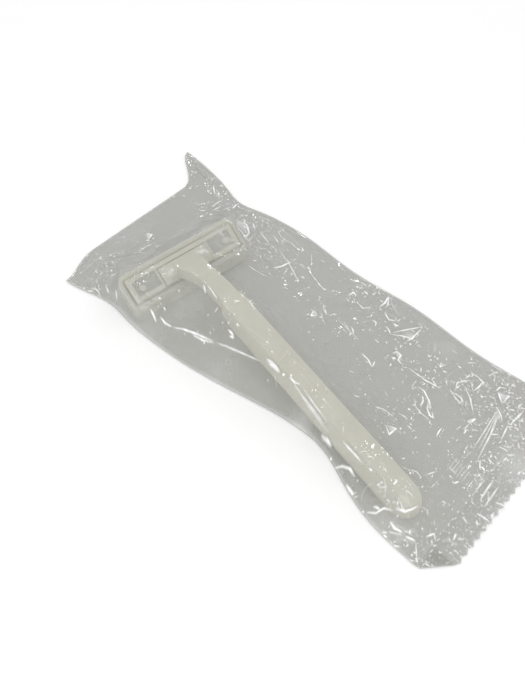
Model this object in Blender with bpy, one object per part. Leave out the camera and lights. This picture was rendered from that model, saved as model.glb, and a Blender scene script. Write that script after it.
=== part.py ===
"""Disposable twin-blade razor with its blade cover, sealed in a clear film sachet.

Metres, +Z up. The sachet lies on z = 0 with its length along Y, and the razor in it lies blade side
down with its head towards +Y. The origin is under the middle of the sachet's outline.

Three frames are used. The sachet is drawn in the world frame. The handle and the blade cover are drawn
in the razor frame: it is turned about Z, +Y runs from the butt to the head, and z = 0 is the surface.
The head is drawn in the head frame, which is tilted in the razor frame: x runs along the blades,
y (called u here) from the guard to the cap, and z (called w here) from the shaving face to the back.
The side faces of the head and the walls of its cover are upright in the world, so that the razor
lifts straight up out of its cover.
"""

import math

import bmesh
import bpy
import numpy as np
from mathutils import Matrix, Vector
from mathutils.bvhtree import BVHTree

MM = 0.001

# How the razor lies
RAZOR_TURN = math.radians(-7.8)  # the razor's +Y against the sachet's
HEAD_TILT = math.radians(34.0)  # the cap side is higher than the guard side

# Clearances
FIT = 0.05 * MM  # between the blades, the spacer and what holds them
SEAT = 0.3 * MM  # between a piece and what it rests on or fits in
FILM_SEAT = 0.3 * MM  # between the film and what it lies on

# Blade pack
BLADE_ANGLE = math.radians(18.0)
BLADE_THICK = 0.12 * MM
BLADE_LENGTH = 36.8 * MM
BLADE_BEVEL = 0.45 * MM
EDGE_THICK = 0.02 * MM
LOWER_BLADE_WIDTH = 6.0 * MM
UPPER_SET_BACK = 1.6 * MM  # the upper edge behind the lower one
SPACER_THICK = 0.35 * MM
SPACER_SET_BACK = 0.9 * MM
CAP_SET_BACK = 0.75 * MM  # the cap's front behind the upper edge
CAP_THICK = 0.8 * MM
CAP_EDGE_THICK = 0.35 * MM
PEG_RADIUS = 1.1 * MM
PEG_HOLE_CLEAR = 0.2 * MM
PEG_FROM_BLADE_END = 2.6 * MM
PEG_FROM_BACK_EDGE = 1.7 * MM  # from the blades' back edge to a peg's middle
PEG_PROUD = 0.1 * MM  # a peg's end above the head's back

# Head
HEAD_DEPTH = 7.6 * MM  # across the back, from the guard side to the cap side
HEAD_THICK = 3.5 * MM
GUARD_WIDTH = 1.4 * MM
GUARD_GAP = 0.7 * MM  # between the guard and the lower edge
GUARD_ROUND = 0.45 * MM
GUARD_ROUND_MID = (0.35, 0.3)  # the round's middle point, as shares of it along and up
GUARD_RIB_PITCH = 1.6 * MM
GUARD_RIB_GROOVE = 0.8 * MM
GUARD_GROOVE_DEPTH = 0.3 * MM
END_WALL = 1.0 * MM
BLADE_SEAT_W = 0.2 * MM  # the seat's front above the face
SEAT_BEYOND = 0.3 * MM  # how far the blades' seat runs past their two edges
SEAT_STEP = 0.55 * MM
POCKET_DEPTH = 0.7 * MM
POCKET_FAR_BAR = 1.4 * MM
POCKET_NEAR_BAR = 1.3 * MM
POCKET_END_BAR = 1.6 * MM
POCKET_INNER_BAR = 0.7 * MM

# Blade cover
COVER_WALL = 1.3 * MM
COVER_FLOOR = 0.8 * MM
COVER_CLEAR = 0.5 * MM
COVER_END_CLEAR = 0.6 * MM
COVER_CORNER = 2.2 * MM
COVER_CHAMFER = 0.5 * MM
COVER_RIM_ROUND = 0.25 * MM
COVER_RIM_DROP = 0.1 * MM  # the rim under the head's back

# Handle
SADDLE_WIDTH = 17.6 * MM
SADDLE_GAP = 0.3 * MM
SADDLE_PROUD = 0.35 * MM
GUSSET_INSET = 0.4 * MM  # from the saddle's edges to the sloping facets
GUSSET_EDGE = 0.15 * MM  # height of a facet's outer edge over the saddle
GUSSET_RUN = 2.0 * MM  # how far a facet spreads from the neck at the saddle's guard side
GUSSET_PAD = 1.0 * MM  # flat pad left between it and the guard side
GUSSET_FAR = 0.8 * MM  # upright stretch of a facet's outer edge, at the cap side
NECK_TOP_FAR = 5.8 * MM  # the neck's top face where it starts on the saddle
NECK_ROOT_WIDTH = 9.2 * MM
NECK_WIDTH = 6.2 * MM
NECK_LENGTH = 20.5 * MM  # from the head's guard side to the shoulder
NECK_DEPTH = 4.0 * MM
NECK_FLARE_RUN = 9.2 * MM  # how far from the head the neck starts to widen
NECK_DROP = 0.42  # slope of the neck's top face where it meets the saddle
DEPTH_RUN = 7.0 * MM  # behind the shoulder, where the channel grows to its full depth
NECK_EDGE = 0.5 * MM  # how far its top face is narrower than it, each side
SHOULDER_LENGTH = 1.6 * MM
BODY_LENGTH = 78.0 * MM
BODY_TOP_START = 6.4 * MM
BODY_TOP_END = 5.0 * MM
BODY_BASE_START = 8.2 * MM
BODY_BASE_END = 9.6 * MM
BODY_DEPTH_START = 6.2 * MM
BODY_DEPTH_END = 7.0 * MM
BODY_HEIGHT_START = 15.6 * MM  # top face above the surface at the shoulder
TOP_CROWN = 0.25 * MM
TOP_EDGE_ROUND = 0.75 * MM
SKIRT = 1.2 * MM  # upright foot of the flanks
BUTT_ROUND = 6.0 * MM
BUTT_SQUARENESS = 2.4  # exponent of the butt's plan: 2 is round, more is squarer
BUTT_END_SHARE = 0.2  # how much of the width the butt's flat end keeps
HANDLE_WALL = 1.2 * MM
TOP_WALL = 1.4 * MM
RIB_THICK = 1.1 * MM
RIB_PITCH = 10.4 * MM
FIRST_POCKET = 2.0 * MM  # from the shoulder's end to the first pocket

# Sachet
FILM = 0.2 * MM  # far thicker than the real 0.03 mm film, so that it is a solid
FAR_ROOM = 28.0 * MM  # from the cover to the far edge
BUTT_ROOM = 7.6 * MM  # from the butt to the end seal
LEFT_ROOM = 2.2 * MM  # from the cover's left end to the left edge
HUG_ROOM = 1.4 * MM  # from the handle to the left edge, where the film hugs it
HUG_HEAD_RUN = 34.0 * MM  # how far the hug fades out towards the head
HUG_BUTT_RUN = 18.0 * MM
HUG_SHARE = 0.55  # where along the handle's body the film lies closest
SACHET_WIDTH = 65.5 * MM
EDGE_BOW = 1.4 * MM  # how far the right edge wanders in
EAR_LEFT_DROP = 4.5 * MM  # how far the left ear hangs behind the far edge
EAR_RIGHT = 13.5 * MM  # how far the right ear stands out beyond the far edge
EAR_FLARE = 2.4 * MM
EAR_WIDTH = 15.0 * MM
EAR_WAIST = 2.4 * MM  # how far the side is drawn in at the foot of an ear
EAR_FOOT = 0.86  # where along a side its ear begins
WAIST_RUN = 0.06  # how far along a side the waist fades out
SEAL_THICK = 0.3 * MM
SEAL_GAP = 0.3 * MM
TOOTH_PITCH = 2.8 * MM
TOOTH_DEPTH = 0.8 * MM
FOLDED_CORNER = 6.8 * MM
FOLD_TO_FILM = 0.6 * MM  # band left between the folded corner and the films
FILM_SLACK = 30.0  # how sharply the slack film hangs down between its supports, in 1/m
FOLD_WIDTH = 3.8 * MM  # half the width of a main fold at its foot
FOLD_HEIGHT = 1.8 * MM
FOLD_END = 0.12  # how soon a fold rises from nothing at its ends

# The upper film's main folds: (share across, share along) of both ends from the end seal's left
# corner, and the share of the full height. They strain from the ears to the razor's head, follow the
# sides of the handle, and fan out in front of the end seal.
FOLDS = (
    ((0.03, 0.96), (0.16, 0.84), 0.9),
    ((0.06, 0.99), (0.34, 0.88), 0.7),
    ((0.01, 0.90), (0.07, 0.74), 0.6),
    ((0.96, 0.96), (0.72, 0.78), 1.0),
    ((0.90, 0.98), (0.60, 0.88), 0.7),
    ((0.97, 0.90), (0.88, 0.66), 0.8),
    ((0.78, 0.80), (0.70, 0.68), 1.0),
    ((0.36, 0.96), (0.42, 0.87), 0.6),
    ((0.11, 0.64), (0.20, 0.47), 1.0),
    ((0.21, 0.46), (0.16, 0.26), 0.7),
    ((0.74, 0.63), (0.64, 0.54), 0.8),
    ((0.86, 0.60), (0.94, 0.44), 0.7),
    ((0.62, 0.49), (0.81, 0.53), 0.8),
    ((0.92, 0.42), (0.84, 0.35), 0.9),
    ((0.60, 0.42), (0.57, 0.32), 0.8),
    ((0.72, 0.33), (0.88, 0.30), 1.0),
    ((0.89, 0.29), (0.76, 0.27), 0.9),
    ((0.64, 0.29), (0.62, 0.20), 0.9),
    ((0.09, 0.22), (0.05, 0.12), 0.8),
    ((0.12, 0.07), (0.02, 0.13), 0.8),
    ((0.74, 0.14), (0.66, 0.08), 0.7),
    ((0.82, 0.07), (0.50, 0.04), 0.9),
    ((0.95, 0.20), (0.86, 0.08), 0.7),
    ((0.38, 0.10), (0.30, 0.03), 0.7),
)

# Colours are the ones seen through one layer of film.
CREAM = (0.80, 0.79, 0.70, 1.0)
MILKY = (0.62, 0.64, 0.52, 1.0)
STEEL = (0.62, 0.63, 0.64, 1.0)
CLEAR = (0.75, 0.76, 0.75, 0.35)

for old in list(bpy.data.objects):
    bpy.data.objects.remove(old, do_unlink=True)


def material(name, colour, roughness, metallic=0.0):
    """A Principled material, made once for each name."""
    found = bpy.data.materials.get(name)
    if found:
        return found
    made = bpy.data.materials.new(name)
    made.use_nodes = True
    shader = made.node_tree.nodes["Principled BSDF"]
    shader.inputs["Base Color"].default_value = colour
    shader.inputs["Roughness"].default_value = roughness
    shader.inputs["Metallic"].default_value = metallic
    shader.inputs["Alpha"].default_value = colour[3]
    return made


CREAM_PLASTIC = ("cream_plastic", CREAM, 0.45)
MILKY_PLASTIC = ("milky_plastic", MILKY, 0.35)
BLADE_STEEL = ("blade_steel", STEEL, 0.25, 1.0)
CLEAR_FILM = ("clear_film", CLEAR, 0.1)


def piece(name, bm, finish, parent=None, smooth=True):
    """Turns a bmesh into a named object with its faces pointing out."""
    bmesh.ops.remove_doubles(bm, verts=bm.verts, dist=1e-7)
    bmesh.ops.recalc_face_normals(bm, faces=bm.faces)
    mesh = bpy.data.meshes.new(name)
    bm.to_mesh(mesh)
    bm.free()
    if smooth:
        mesh.shade_smooth()
        mesh.set_sharp_from_angle(angle=math.radians(30))
    made = bpy.data.objects.new(name, mesh)
    bpy.context.scene.collection.objects.link(made)
    made.parent = parent
    if finish:
        mesh.materials.append(material(*finish))
    return made


def tool(name, bm, parent):
    """A shape that only adds to or cuts another one."""
    made = piece(name, bm, None, parent, smooth=False)
    made.hide_render = True
    made.display_type = "WIRE"
    return made


def combine(target, other, operation):
    modifier = target.modifiers.new(other.name, "BOOLEAN")
    modifier.operation = operation
    modifier.object = other
    modifier.solver = "EXACT"


def frame(name, parent=None, place=(0, 0, 0), turn=(0, 0, 0)):
    empty = bpy.data.objects.new(name, None)
    bpy.context.scene.collection.objects.link(empty)
    empty.parent = parent
    empty.location = place
    empty.rotation_euler = turn
    return empty


def add_rings(bm, rings):
    """Joins equal rings of points into a tube and closes its two ends."""
    rows = [[bm.verts.new(point) for point in ring] for ring in rings]
    count = len(rows[0])
    for low, high in zip(rows, rows[1:]):
        for i in range(count):
            j = (i + 1) % count
            bm.faces.new((low[i], low[j], high[j], high[i]))
    bm.faces.new(rows[0][::-1])
    bm.faces.new(rows[-1])


def add_bar(bm, section, x0, x1):
    """A bar of constant (u, w) section along x."""
    add_rings(bm, [[(x, u, w) for u, w in section] for x in (x0, x1)])


def add_block(bm, low, high):
    section = ((low[1], low[2]), (high[1], low[2]), (high[1], high[2]), (low[1], high[2]))
    add_bar(bm, section, low[0], high[0])


def add_hull(bm, points):
    verts = [bm.verts.new(point) for point in points]
    made = bmesh.ops.convex_hull(bm, input=verts)
    inside = [v for v in made["geom_interior"] if isinstance(v, bmesh.types.BMVert)]
    bmesh.ops.delete(bm, geom=inside, context="VERTS")


def ease(t):
    """A smooth step from 0 to 1."""
    t = min(max(t, 0.0), 1.0)
    return t * t * (3 - 2 * t)


def mix(a, b, t):
    return a + (b - a) * t


# Where the head lies: the guard-side foot of the cover rests on the lower film
SIN, COS = math.sin(HEAD_TILT), math.cos(HEAD_TILT)
HEAD_LENGTH = BLADE_LENGTH + 2 * (SEAT + END_WALL)
BACK_NEAR_U = -HEAD_DEPTH / 2
BACK_FAR_U = HEAD_DEPTH / 2
NEAR_Y = BACK_NEAR_U * COS - HEAD_THICK * SIN  # the head's two side faces, in the razor frame
FAR_Y = BACK_FAR_U * COS - HEAD_THICK * SIN
COVER_NEAR_Y = NEAR_Y - COVER_CLEAR - COVER_WALL
COVER_FAR_Y = FAR_Y + COVER_CLEAR + COVER_WALL
COVER_FLOOR_W = -COVER_CLEAR - COVER_FLOOR
REST_HEIGHT = FILM + FILM_SEAT
HEAD_HEIGHT = REST_HEIGHT - (COVER_FLOOR_W + (COVER_NEAR_Y + COVER_CHAMFER) * SIN) / COS


def height_of_plane(w, y):
    """The height in the razor frame of the head's plane w, at the razor's y."""
    return HEAD_HEIGHT + (w + y * SIN) / COS


def side_u(back_u, w):
    """u of an upright side face of the head at w."""
    return back_u - (HEAD_THICK - w) * SIN / COS


# Where the handle lies: its butt rests on the lower film
SHOULDER_Y = NEAR_Y - NECK_LENGTH
BODY_Y = SHOULDER_Y - SHOULDER_LENGTH
BUTT_Y = SHOULDER_Y - BODY_LENGTH
BODY_HEIGHT_END = REST_HEIGHT + BODY_DEPTH_END

# The sachet's layout, first with the razor's head frame over the origin
TURN = Matrix.Rotation(RAZOR_TURN, 3, "Z")


def laid(x, y):
    """A point of the razor frame in the layout."""
    return (TURN @ Vector((x, y, 0))).xy


COVER_HALF = HEAD_LENGTH / 2 + COVER_END_CLEAR + COVER_WALL
SEAL_Y = laid(0, BUTT_Y).y - BUTT_ROOM
SEAL_WIDTH = FOLDED_CORNER + FOLD_TO_FILM
END_Y = SEAL_Y - SEAL_GAP - SEAL_WIDTH
FAR_EDGE_Y = laid(0, COVER_FAR_Y).y + FAR_ROOM
LEFT_X = laid(-COVER_HALF, COVER_NEAR_Y).x - LEFT_ROOM
RIGHT_X = LEFT_X + SACHET_WIDTH
HUG_PLACE = mix(BODY_Y, BUTT_Y, HUG_SHARE)
HUG_Y = laid(0, HUG_PLACE).y
HUG_X = laid(-BODY_BASE_END / 2, HUG_PLACE).x - HUG_ROOM


def ear_share(t):
    """0 along the sides, growing to 1 at the tip of an ear."""
    return ease((t - EAR_FOOT) / (1 - EAR_FOOT)) ** 2


def waist(t):
    return EAR_WAIST * math.exp(-(((t - EAR_FOOT) / WAIST_RUN) ** 2)) * (1 - ear_share(t))


def left_edge(t):
    """The left edge from the end seal (t = 0) to the far edge (t = 1): it is drawn in to the handle."""
    y = mix(SEAL_Y, FAR_EDGE_Y - EAR_LEFT_DROP, t)
    run = HUG_HEAD_RUN if y > HUG_Y else HUG_BUTT_RUN
    drawn = math.exp(-(((y - HUG_Y) / run) ** 2))
    return Vector((mix(LEFT_X, HUG_X, drawn) + 0.5 * waist(t) - EAR_FLARE * ear_share(t), y, 0))


def right_edge(t):
    """The right edge: it wanders in and out a little, and ends in the longer ear."""
    y = mix(SEAL_Y, FAR_EDGE_Y, t)
    bow = EDGE_BOW * math.sin(3 * math.pi * t) ** 2 * (1 - ear_share(t))
    return Vector((RIGHT_X - bow - waist(t) + EAR_FLARE * ear_share(t), y + EAR_RIGHT * ear_share(t), 0))


def far_edge(s):
    """The far edge between the two ears, s = 0 at the left."""
    left, right = left_edge(1), right_edge(1)
    x = mix(left.x, right.x, s)
    near_left = ease(1 - (x - left.x) / EAR_WIDTH) ** 1.4
    near_right = ease(1 - (right.x - x) / EAR_WIDTH) ** 1.4
    y = FAR_EDGE_Y + near_left * (left.y - FAR_EDGE_Y) + near_right * (right.y - FAR_EDGE_Y)
    return Vector((x, y, 0))


def near_edge(s):
    return Vector((mix(left_edge(0).x, right_edge(0).x, s), SEAL_Y, 0))


def sachet_point(s, t):
    """A point of the sachet's outline and what lies inside it, spread between its four edges."""
    across = left_edge(t).lerp(right_edge(t), s)
    along = near_edge(s).lerp(far_edge(s), t)
    corners = near_edge(0).lerp(near_edge(1), s).lerp(far_edge(0).lerp(far_edge(1), s), t)
    return across + along - corners - ORIGIN


ORIGIN = Vector((0, 0, 0))
EDGES = [sachet_point(s, t) for s in np.linspace(0, 1, 41) for t in np.linspace(0, 1, 81)]
LOW_X, HIGH_X = min(p.x for p in EDGES), max(p.x for p in EDGES)
ORIGIN = Vector(((LOW_X + HIGH_X) / 2, (END_Y + max(p.y for p in EDGES)) / 2, 0))

razor = frame("razor_frame", place=-ORIGIN, turn=(0, 0, RAZOR_TURN))
head = frame("head_frame", razor, (0, 0, HEAD_HEIGHT), (HEAD_TILT, 0, 0))


# Blade pack: v runs from the lower edge back along the seat, t away from the seat to the face
SEAT_U = side_u(BACK_NEAR_U, 0) + GUARD_WIDTH + GUARD_GAP
SIN_B, COS_B = math.sin(BLADE_ANGLE), math.cos(BLADE_ANGLE)


def in_pack(v, t):
    return (SEAT_U + v * COS_B + t * SIN_B, BLADE_SEAT_W + v * SIN_B - t * COS_B)


LOWER_T = FIT
SPACER_T = LOWER_T + BLADE_THICK + FIT
UPPER_T = SPACER_T + SPACER_THICK + FIT
CAP_T = UPPER_T + BLADE_THICK + FIT
PACK_END = LOWER_BLADE_WIDTH
CAP_FRONT = UPPER_SET_BACK + CAP_SET_BACK
PEG_V = PACK_END - PEG_FROM_BACK_EDGE
PEG_X = BLADE_LENGTH / 2 - PEG_FROM_BLADE_END
CHAMBER_HALF = HEAD_LENGTH / 2 - END_WALL
POCKET_FLOOR = HEAD_THICK - POCKET_DEPTH
POCKET_NEAR_U = BACK_NEAR_U + POCKET_NEAR_BAR
POCKET_FAR_U = BACK_FAR_U - POCKET_FAR_BAR


def add_peg(bm, x, radius, t_from, t_to, sides=16):
    """A round peg or hole through the pack, square to the blades."""
    rings = []
    for t in (t_from, t_to):
        ring = []
        for i in range(sides):
            a = 2 * math.pi * i / sides
            u, w = in_pack(PEG_V + radius * math.sin(a), t)
            ring.append((x + radius * math.cos(a), u, w))
        rings.append(ring)
    add_rings(bm, rings)


def peg_holes(name):
    bm = bmesh.new()
    for side in (-1, 1):
        add_peg(bm, side * PEG_X, PEG_RADIUS + PEG_HOLE_CLEAR, -HEAD_DEPTH, CAP_T + CAP_THICK)
    return tool(name, bm, head)


def blade(name, set_back, t):
    """A strip of steel whose front edge is ground on both sides."""
    bm = bmesh.new()
    thin = (BLADE_THICK - EDGE_THICK) / 2
    section = [
        in_pack(set_back, t + thin),
        in_pack(set_back + BLADE_BEVEL, t),
        in_pack(PACK_END, t),
        in_pack(PACK_END, t + BLADE_THICK),
        in_pack(set_back + BLADE_BEVEL, t + BLADE_THICK),
        in_pack(set_back, t + thin + EDGE_THICK),
    ]
    add_bar(bm, section, -BLADE_LENGTH / 2, BLADE_LENGTH / 2)
    made = piece(name, bm, BLADE_STEEL, head, smooth=False)
    combine(made, PACK_HOLES, "DIFFERENCE")
    return made


PACK_HOLES = peg_holes("pack_holes")
blade("lower_blade", 0.0, LOWER_T)
blade("upper_blade", UPPER_SET_BACK, UPPER_T)

bm = bmesh.new()
spacer_section = [
    in_pack(SPACER_SET_BACK, SPACER_T),
    in_pack(PACK_END, SPACER_T),
    in_pack(PACK_END, SPACER_T + SPACER_THICK),
    in_pack(SPACER_SET_BACK, SPACER_T + SPACER_THICK),
]
add_bar(bm, spacer_section, -BLADE_LENGTH / 2, BLADE_LENGTH / 2)
spacer = piece("blade_spacer", bm, CREAM_PLASTIC, head, smooth=False)
combine(spacer, PACK_HOLES, "DIFFERENCE")

# Cap: a shallow dome over the pack, with two pegs that pass through it into the back's pockets
bm = bmesh.new()
cap_section = [in_pack(CAP_FRONT, CAP_T), in_pack(PACK_END, CAP_T)]
cap_steps = 8
for i in range(cap_steps + 1):
    share = i / cap_steps
    rise = CAP_EDGE_THICK + (CAP_THICK - CAP_EDGE_THICK) * math.sin(math.pi * share)
    cap_section.append(in_pack(mix(PACK_END, CAP_FRONT, share), CAP_T + rise))
add_bar(bm, cap_section, -CHAMBER_HALF + SEAT, CHAMBER_HALF - SEAT)
cap = piece("head_cap", bm, CREAM_PLASTIC, head)
bm = bmesh.new()
for side in (-1, 1):
    peg_end = -(HEAD_THICK - BLADE_SEAT_W - PEG_V * SIN_B) / COS_B - PEG_PROUD
    add_peg(bm, side * PEG_X, PEG_RADIUS, CAP_T + CAP_EDGE_THICK / 2, peg_end)
combine(cap, tool("cap_pegs", bm, head), "UNION")

# Head base: guard, blade seat and end walls in front, two pockets and the saddle's seat at the back
bm = bmesh.new()
guard_near = side_u(BACK_NEAR_U, 0)
base_section = [
    (BACK_NEAR_U, HEAD_THICK),
    (side_u(BACK_NEAR_U, GUARD_ROUND), GUARD_ROUND),
    (guard_near + GUARD_ROUND_MID[0] * GUARD_ROUND, GUARD_ROUND_MID[1] * GUARD_ROUND),
    (guard_near + GUARD_ROUND, 0),
    (side_u(BACK_FAR_U, 0) - GUARD_ROUND, 0),
    (side_u(BACK_FAR_U, GUARD_ROUND), GUARD_ROUND),
    (BACK_FAR_U, HEAD_THICK),
]
add_bar(bm, base_section, -HEAD_LENGTH / 2, HEAD_LENGTH / 2)
base = piece("head_base", bm, CREAM_PLASTIC, head, smooth=False)

BEYOND = HEAD_THICK + HEAD_DEPTH  # how far a cutter runs past what it cuts
seat_front = in_pack(-SEAT_BEYOND, 0)
seat_end = in_pack(PACK_END + SEAT_BEYOND, 0)
chamber_section = [
    (guard_near + GUARD_WIDTH, -BEYOND),
    (guard_near + GUARD_WIDTH, seat_front[1] + SEAT_STEP),
    (seat_front[0], seat_front[1] + SEAT_STEP),
    seat_front,
    seat_end,
    (seat_end[0], seat_end[1] - SEAT_STEP),
    (seat_end[0] + BEYOND, seat_end[1] - SEAT_STEP),
    (seat_end[0] + BEYOND, -BEYOND),
]
bm = bmesh.new()
add_bar(bm, chamber_section, -CHAMBER_HALF, CHAMBER_HALF)
combine(base, tool("pack_chamber", bm, head), "DIFFERENCE")

# Grooves across the guard bar, so that its ribs stretch the skin
groove_count = int(2 * (CHAMBER_HALF - GUARD_RIB_PITCH) / GUARD_RIB_PITCH)
bm = bmesh.new()
for i in range(groove_count):
    x = (i - (groove_count - 1) / 2) * GUARD_RIB_PITCH
    low = (x - GUARD_RIB_GROOVE / 2, guard_near - BEYOND, -BEYOND)
    high = (x + GUARD_RIB_GROOVE / 2, guard_near + GUARD_WIDTH + GUARD_GAP / 2, GUARD_GROOVE_DEPTH)
    add_block(bm, low, high)
combine(base, tool("guard_grooves", bm, head), "DIFFERENCE")

# Back: a pocket at each end, and the saddle's seat between them, open to the guard side
seat_half = SADDLE_WIDTH / 2 + SADDLE_GAP
pocket_out = HEAD_LENGTH / 2 - POCKET_END_BAR
pocket_in = seat_half + POCKET_INNER_BAR
bm = bmesh.new()
for x0, x1 in ((-pocket_out, -pocket_in), (pocket_in, pocket_out)):
    add_block(bm, (x0, POCKET_NEAR_U, POCKET_FLOOR), (x1, POCKET_FAR_U, HEAD_THICK + BEYOND))
add_block(bm, (-seat_half, -BEYOND, POCKET_FLOOR), (seat_half, POCKET_FAR_U, HEAD_THICK + BEYOND))
combine(base, tool("back_pockets", bm, head), "DIFFERENCE")
combine(base, PACK_HOLES, "DIFFERENCE")

# Handle body: a tapered channel, open towards the blade side, with a rounded butt


def body_share(y):
    return min(max((BODY_Y - y) / (BODY_Y - BUTT_Y), 0.0), 1.0)


def body_top(y):
    """Height of the handle's top face: an arch over the head, then a straight slope to the butt."""
    slope = (BODY_HEIGHT_START - BODY_HEIGHT_END) / (SHOULDER_Y - BUTT_Y)
    if y <= SHOULDER_Y:
        return BODY_HEIGHT_END + slope * (y - BUTT_Y)
    root = height_of_plane(HEAD_THICK + SADDLE_PROUD, NECK_START_Y)
    t = (y - SHOULDER_Y) / (NECK_START_Y - SHOULDER_Y)
    run = NECK_START_Y - SHOULDER_Y
    first = BODY_HEIGHT_START * (2 * t**3 - 3 * t**2 + 1) + slope * run * (t**3 - 2 * t**2 + t)
    return first + root * (3 * t**2 - 2 * t**3) - NECK_DROP * run * (t**3 - t**2)


NECK_START_Y = (POCKET_FAR_U - SADDLE_GAP) * COS - (HEAD_THICK + SADDLE_PROUD) * SIN


EDGE_STEPS = 3
BUTT_DROP = 0.35  # how much of its depth the butt loses at its end


def butt_share(y):
    """How much of the width is left in the rounded butt."""
    into = (BUTT_Y + BUTT_ROUND - y) / BUTT_ROUND
    return math.sqrt(max(1 - max(into, 0.0) ** BUTT_SQUARENESS, BUTT_END_SHARE**2))


def handle_size(y):
    """(half the top, half the base, depth, height of the top) at y."""
    share = body_share(y)
    top = mix(BODY_TOP_START, BODY_TOP_END, share) / 2
    foot = mix(BODY_BASE_START, BODY_BASE_END, share) / 2
    depth = mix(BODY_DEPTH_START, BODY_DEPTH_END, share)
    depth = mix(NECK_DEPTH, depth, ease((SHOULDER_Y - y) / DEPTH_RUN))
    if y > BODY_Y:
        near = ease((y - BODY_Y) / SHOULDER_LENGTH)
        flare = ease((y - NEAR_Y) / NECK_FLARE_RUN + 1)
        neck = mix(NECK_WIDTH, NECK_ROOT_WIDTH, flare) / 2
        top = mix(top, neck - NECK_EDGE, near)
        foot = mix(foot, neck, near)
        depth = min(depth, body_top(y) - height_of_plane(HEAD_THICK + SADDLE_PROUD / 2, y))
    return top, foot, depth, body_top(y)


def handle_ring(y):
    """One cross-section of the handle, from the left foot over the top to the right foot."""
    top, foot, depth, height = handle_size(y)
    narrow = butt_share(y)
    keep = 1 - BUTT_DROP * (1 - narrow)
    low = height - depth
    side = [(foot, 0), (foot, min(SKIRT, depth / 3))]
    corner = (top + TOP_EDGE_ROUND / 2, depth - TOP_EDGE_ROUND)
    for i in range(EDGE_STEPS + 1):
        a = math.pi / 2 * i / EDGE_STEPS
        side.append((top + (corner[0] - top) * math.cos(a), corner[1] + TOP_EDGE_ROUND * math.sin(a)))
    side.append((top / 2, depth + TOP_CROWN * 0.75))
    left = [(-x * narrow, y, low + z * keep) for x, z in side]
    right = [(x * narrow, y, low + z * keep) for x, z in side[::-1]]
    return left + [(0, y, low + (depth + TOP_CROWN) * keep)] + right


NECK_STEPS, SHOULDER_STEPS, DEPTH_STEPS, BODY_STEPS, BUTT_STEPS = 10, 3, 5, 7, 6
stations = [mix(NECK_START_Y, NEAR_Y, share) for share in (0.3, 0.7)]
stations += [NEAR_Y - NECK_LENGTH * i / NECK_STEPS for i in range(NECK_STEPS)]
stations += [SHOULDER_Y - SHOULDER_LENGTH * i / SHOULDER_STEPS for i in range(SHOULDER_STEPS)]
straight_end = BUTT_Y + BUTT_ROUND
depth_end = SHOULDER_Y - DEPTH_RUN
stations += [mix(BODY_Y, depth_end, i / DEPTH_STEPS) for i in range(DEPTH_STEPS)]
stations += [mix(depth_end, straight_end, i / BODY_STEPS) for i in range(BODY_STEPS)]
butt_turns = [math.pi / 2 * i / BUTT_STEPS for i in range(BUTT_STEPS + 1)]
stations += [straight_end - BUTT_ROUND * math.sin(turn) for turn in butt_turns]
bm = bmesh.new()
add_rings(bm, [handle_ring(y) for y in stations])
handle = piece("handle", bm, CREAM_PLASTIC, razor)

# Saddle: a block in the head's seat, and on it a wedge with a sloping facet on each side of the neck
half = SADDLE_WIDTH / 2
saddle_w = HEAD_THICK + SADDLE_PROUD
saddle_far = POCKET_FAR_U - SADDLE_GAP
bm = bmesh.new()
add_block(bm, (-half, BACK_NEAR_U, POCKET_FLOOR + SEAT), (half, saddle_far, saddle_w))
combine(handle, tool("saddle_block", bm, head), "UNION")

gusset_y = NEAR_Y - GUSSET_INSET  # where the wedge's ridge meets the neck's side
rise = body_top(gusset_y) - TOP_EDGE_ROUND - HEAD_HEIGHT
ridge_end = (gusset_y * COS + rise * SIN, -gusset_y * SIN + rise * COS)
bm = bmesh.new()
points = []
for side in (-1, 1):
    outer = side * (half - GUSSET_INSET)
    root = side * NECK_ROOT_WIDTH / 2
    far_u = saddle_far - GUSSET_INSET
    foot = [(outer, far_u), (outer, far_u - GUSSET_FAR)]
    foot.append((root + side * GUSSET_RUN, BACK_NEAR_U + GUSSET_PAD))
    for x, u in foot:
        points.append((x, u, saddle_w + GUSSET_EDGE))
        points.append((x, u, saddle_w - SADDLE_PROUD))
    points.append((side * NECK_TOP_FAR / 2, far_u, saddle_w + NECK_EDGE))
    points.append((root, *ridge_end))
    points.append((root, BACK_NEAR_U + GUSSET_INSET, saddle_w - SADDLE_PROUD))
add_hull(bm, points)
combine(handle, tool("saddle_wedge", bm, head), "UNION")

# Channel: pockets along the underside, parted by cross ribs
bm = bmesh.new()
first = BODY_Y - FIRST_POCKET
last = BUTT_Y + BUTT_ROUND
count = max(1, round((first - last) / RIB_PITCH))
pitch = (first - last) / count
for i in range(count):
    start, stop = first - i * pitch, first - (i + 1) * pitch + RIB_THICK
    rings = []
    for y in (start, mix(start, stop, 0.5), stop):
        top, foot, depth, height = handle_size(y)
        roof = height - TOP_WALL
        low = height - depth - HANDLE_WALL
        wide, narrow = foot - HANDLE_WALL, top - HANDLE_WALL / 2
        rings.append([(-wide, y, low), (-narrow, y, roof), (narrow, y, roof), (wide, y, low)])
    add_rings(bm, rings)
combine(handle, tool("channel_pockets", bm, razor), "DIFFERENCE")

# Blade cover: an open tray with upright walls; its floor and rim lie parallel to the shaving face


def rounded_plan(half_x, y_low, y_high, radius, steps=5):
    """A rectangle with round corners, as (x, y) points."""
    points = []
    corners = ((1, y_high, 0), (-1, y_high, 90), (-1, y_low, 180), (1, y_low, 270))
    for side, y, start in corners:
        cx = side * (half_x - radius)
        cy = y - radius if y == y_high else y + radius
        for i in range(steps):
            a = math.radians(start + 90 * i / (steps - 1))
            points.append((cx + radius * math.cos(a), cy + radius * math.sin(a)))
    return points


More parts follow.
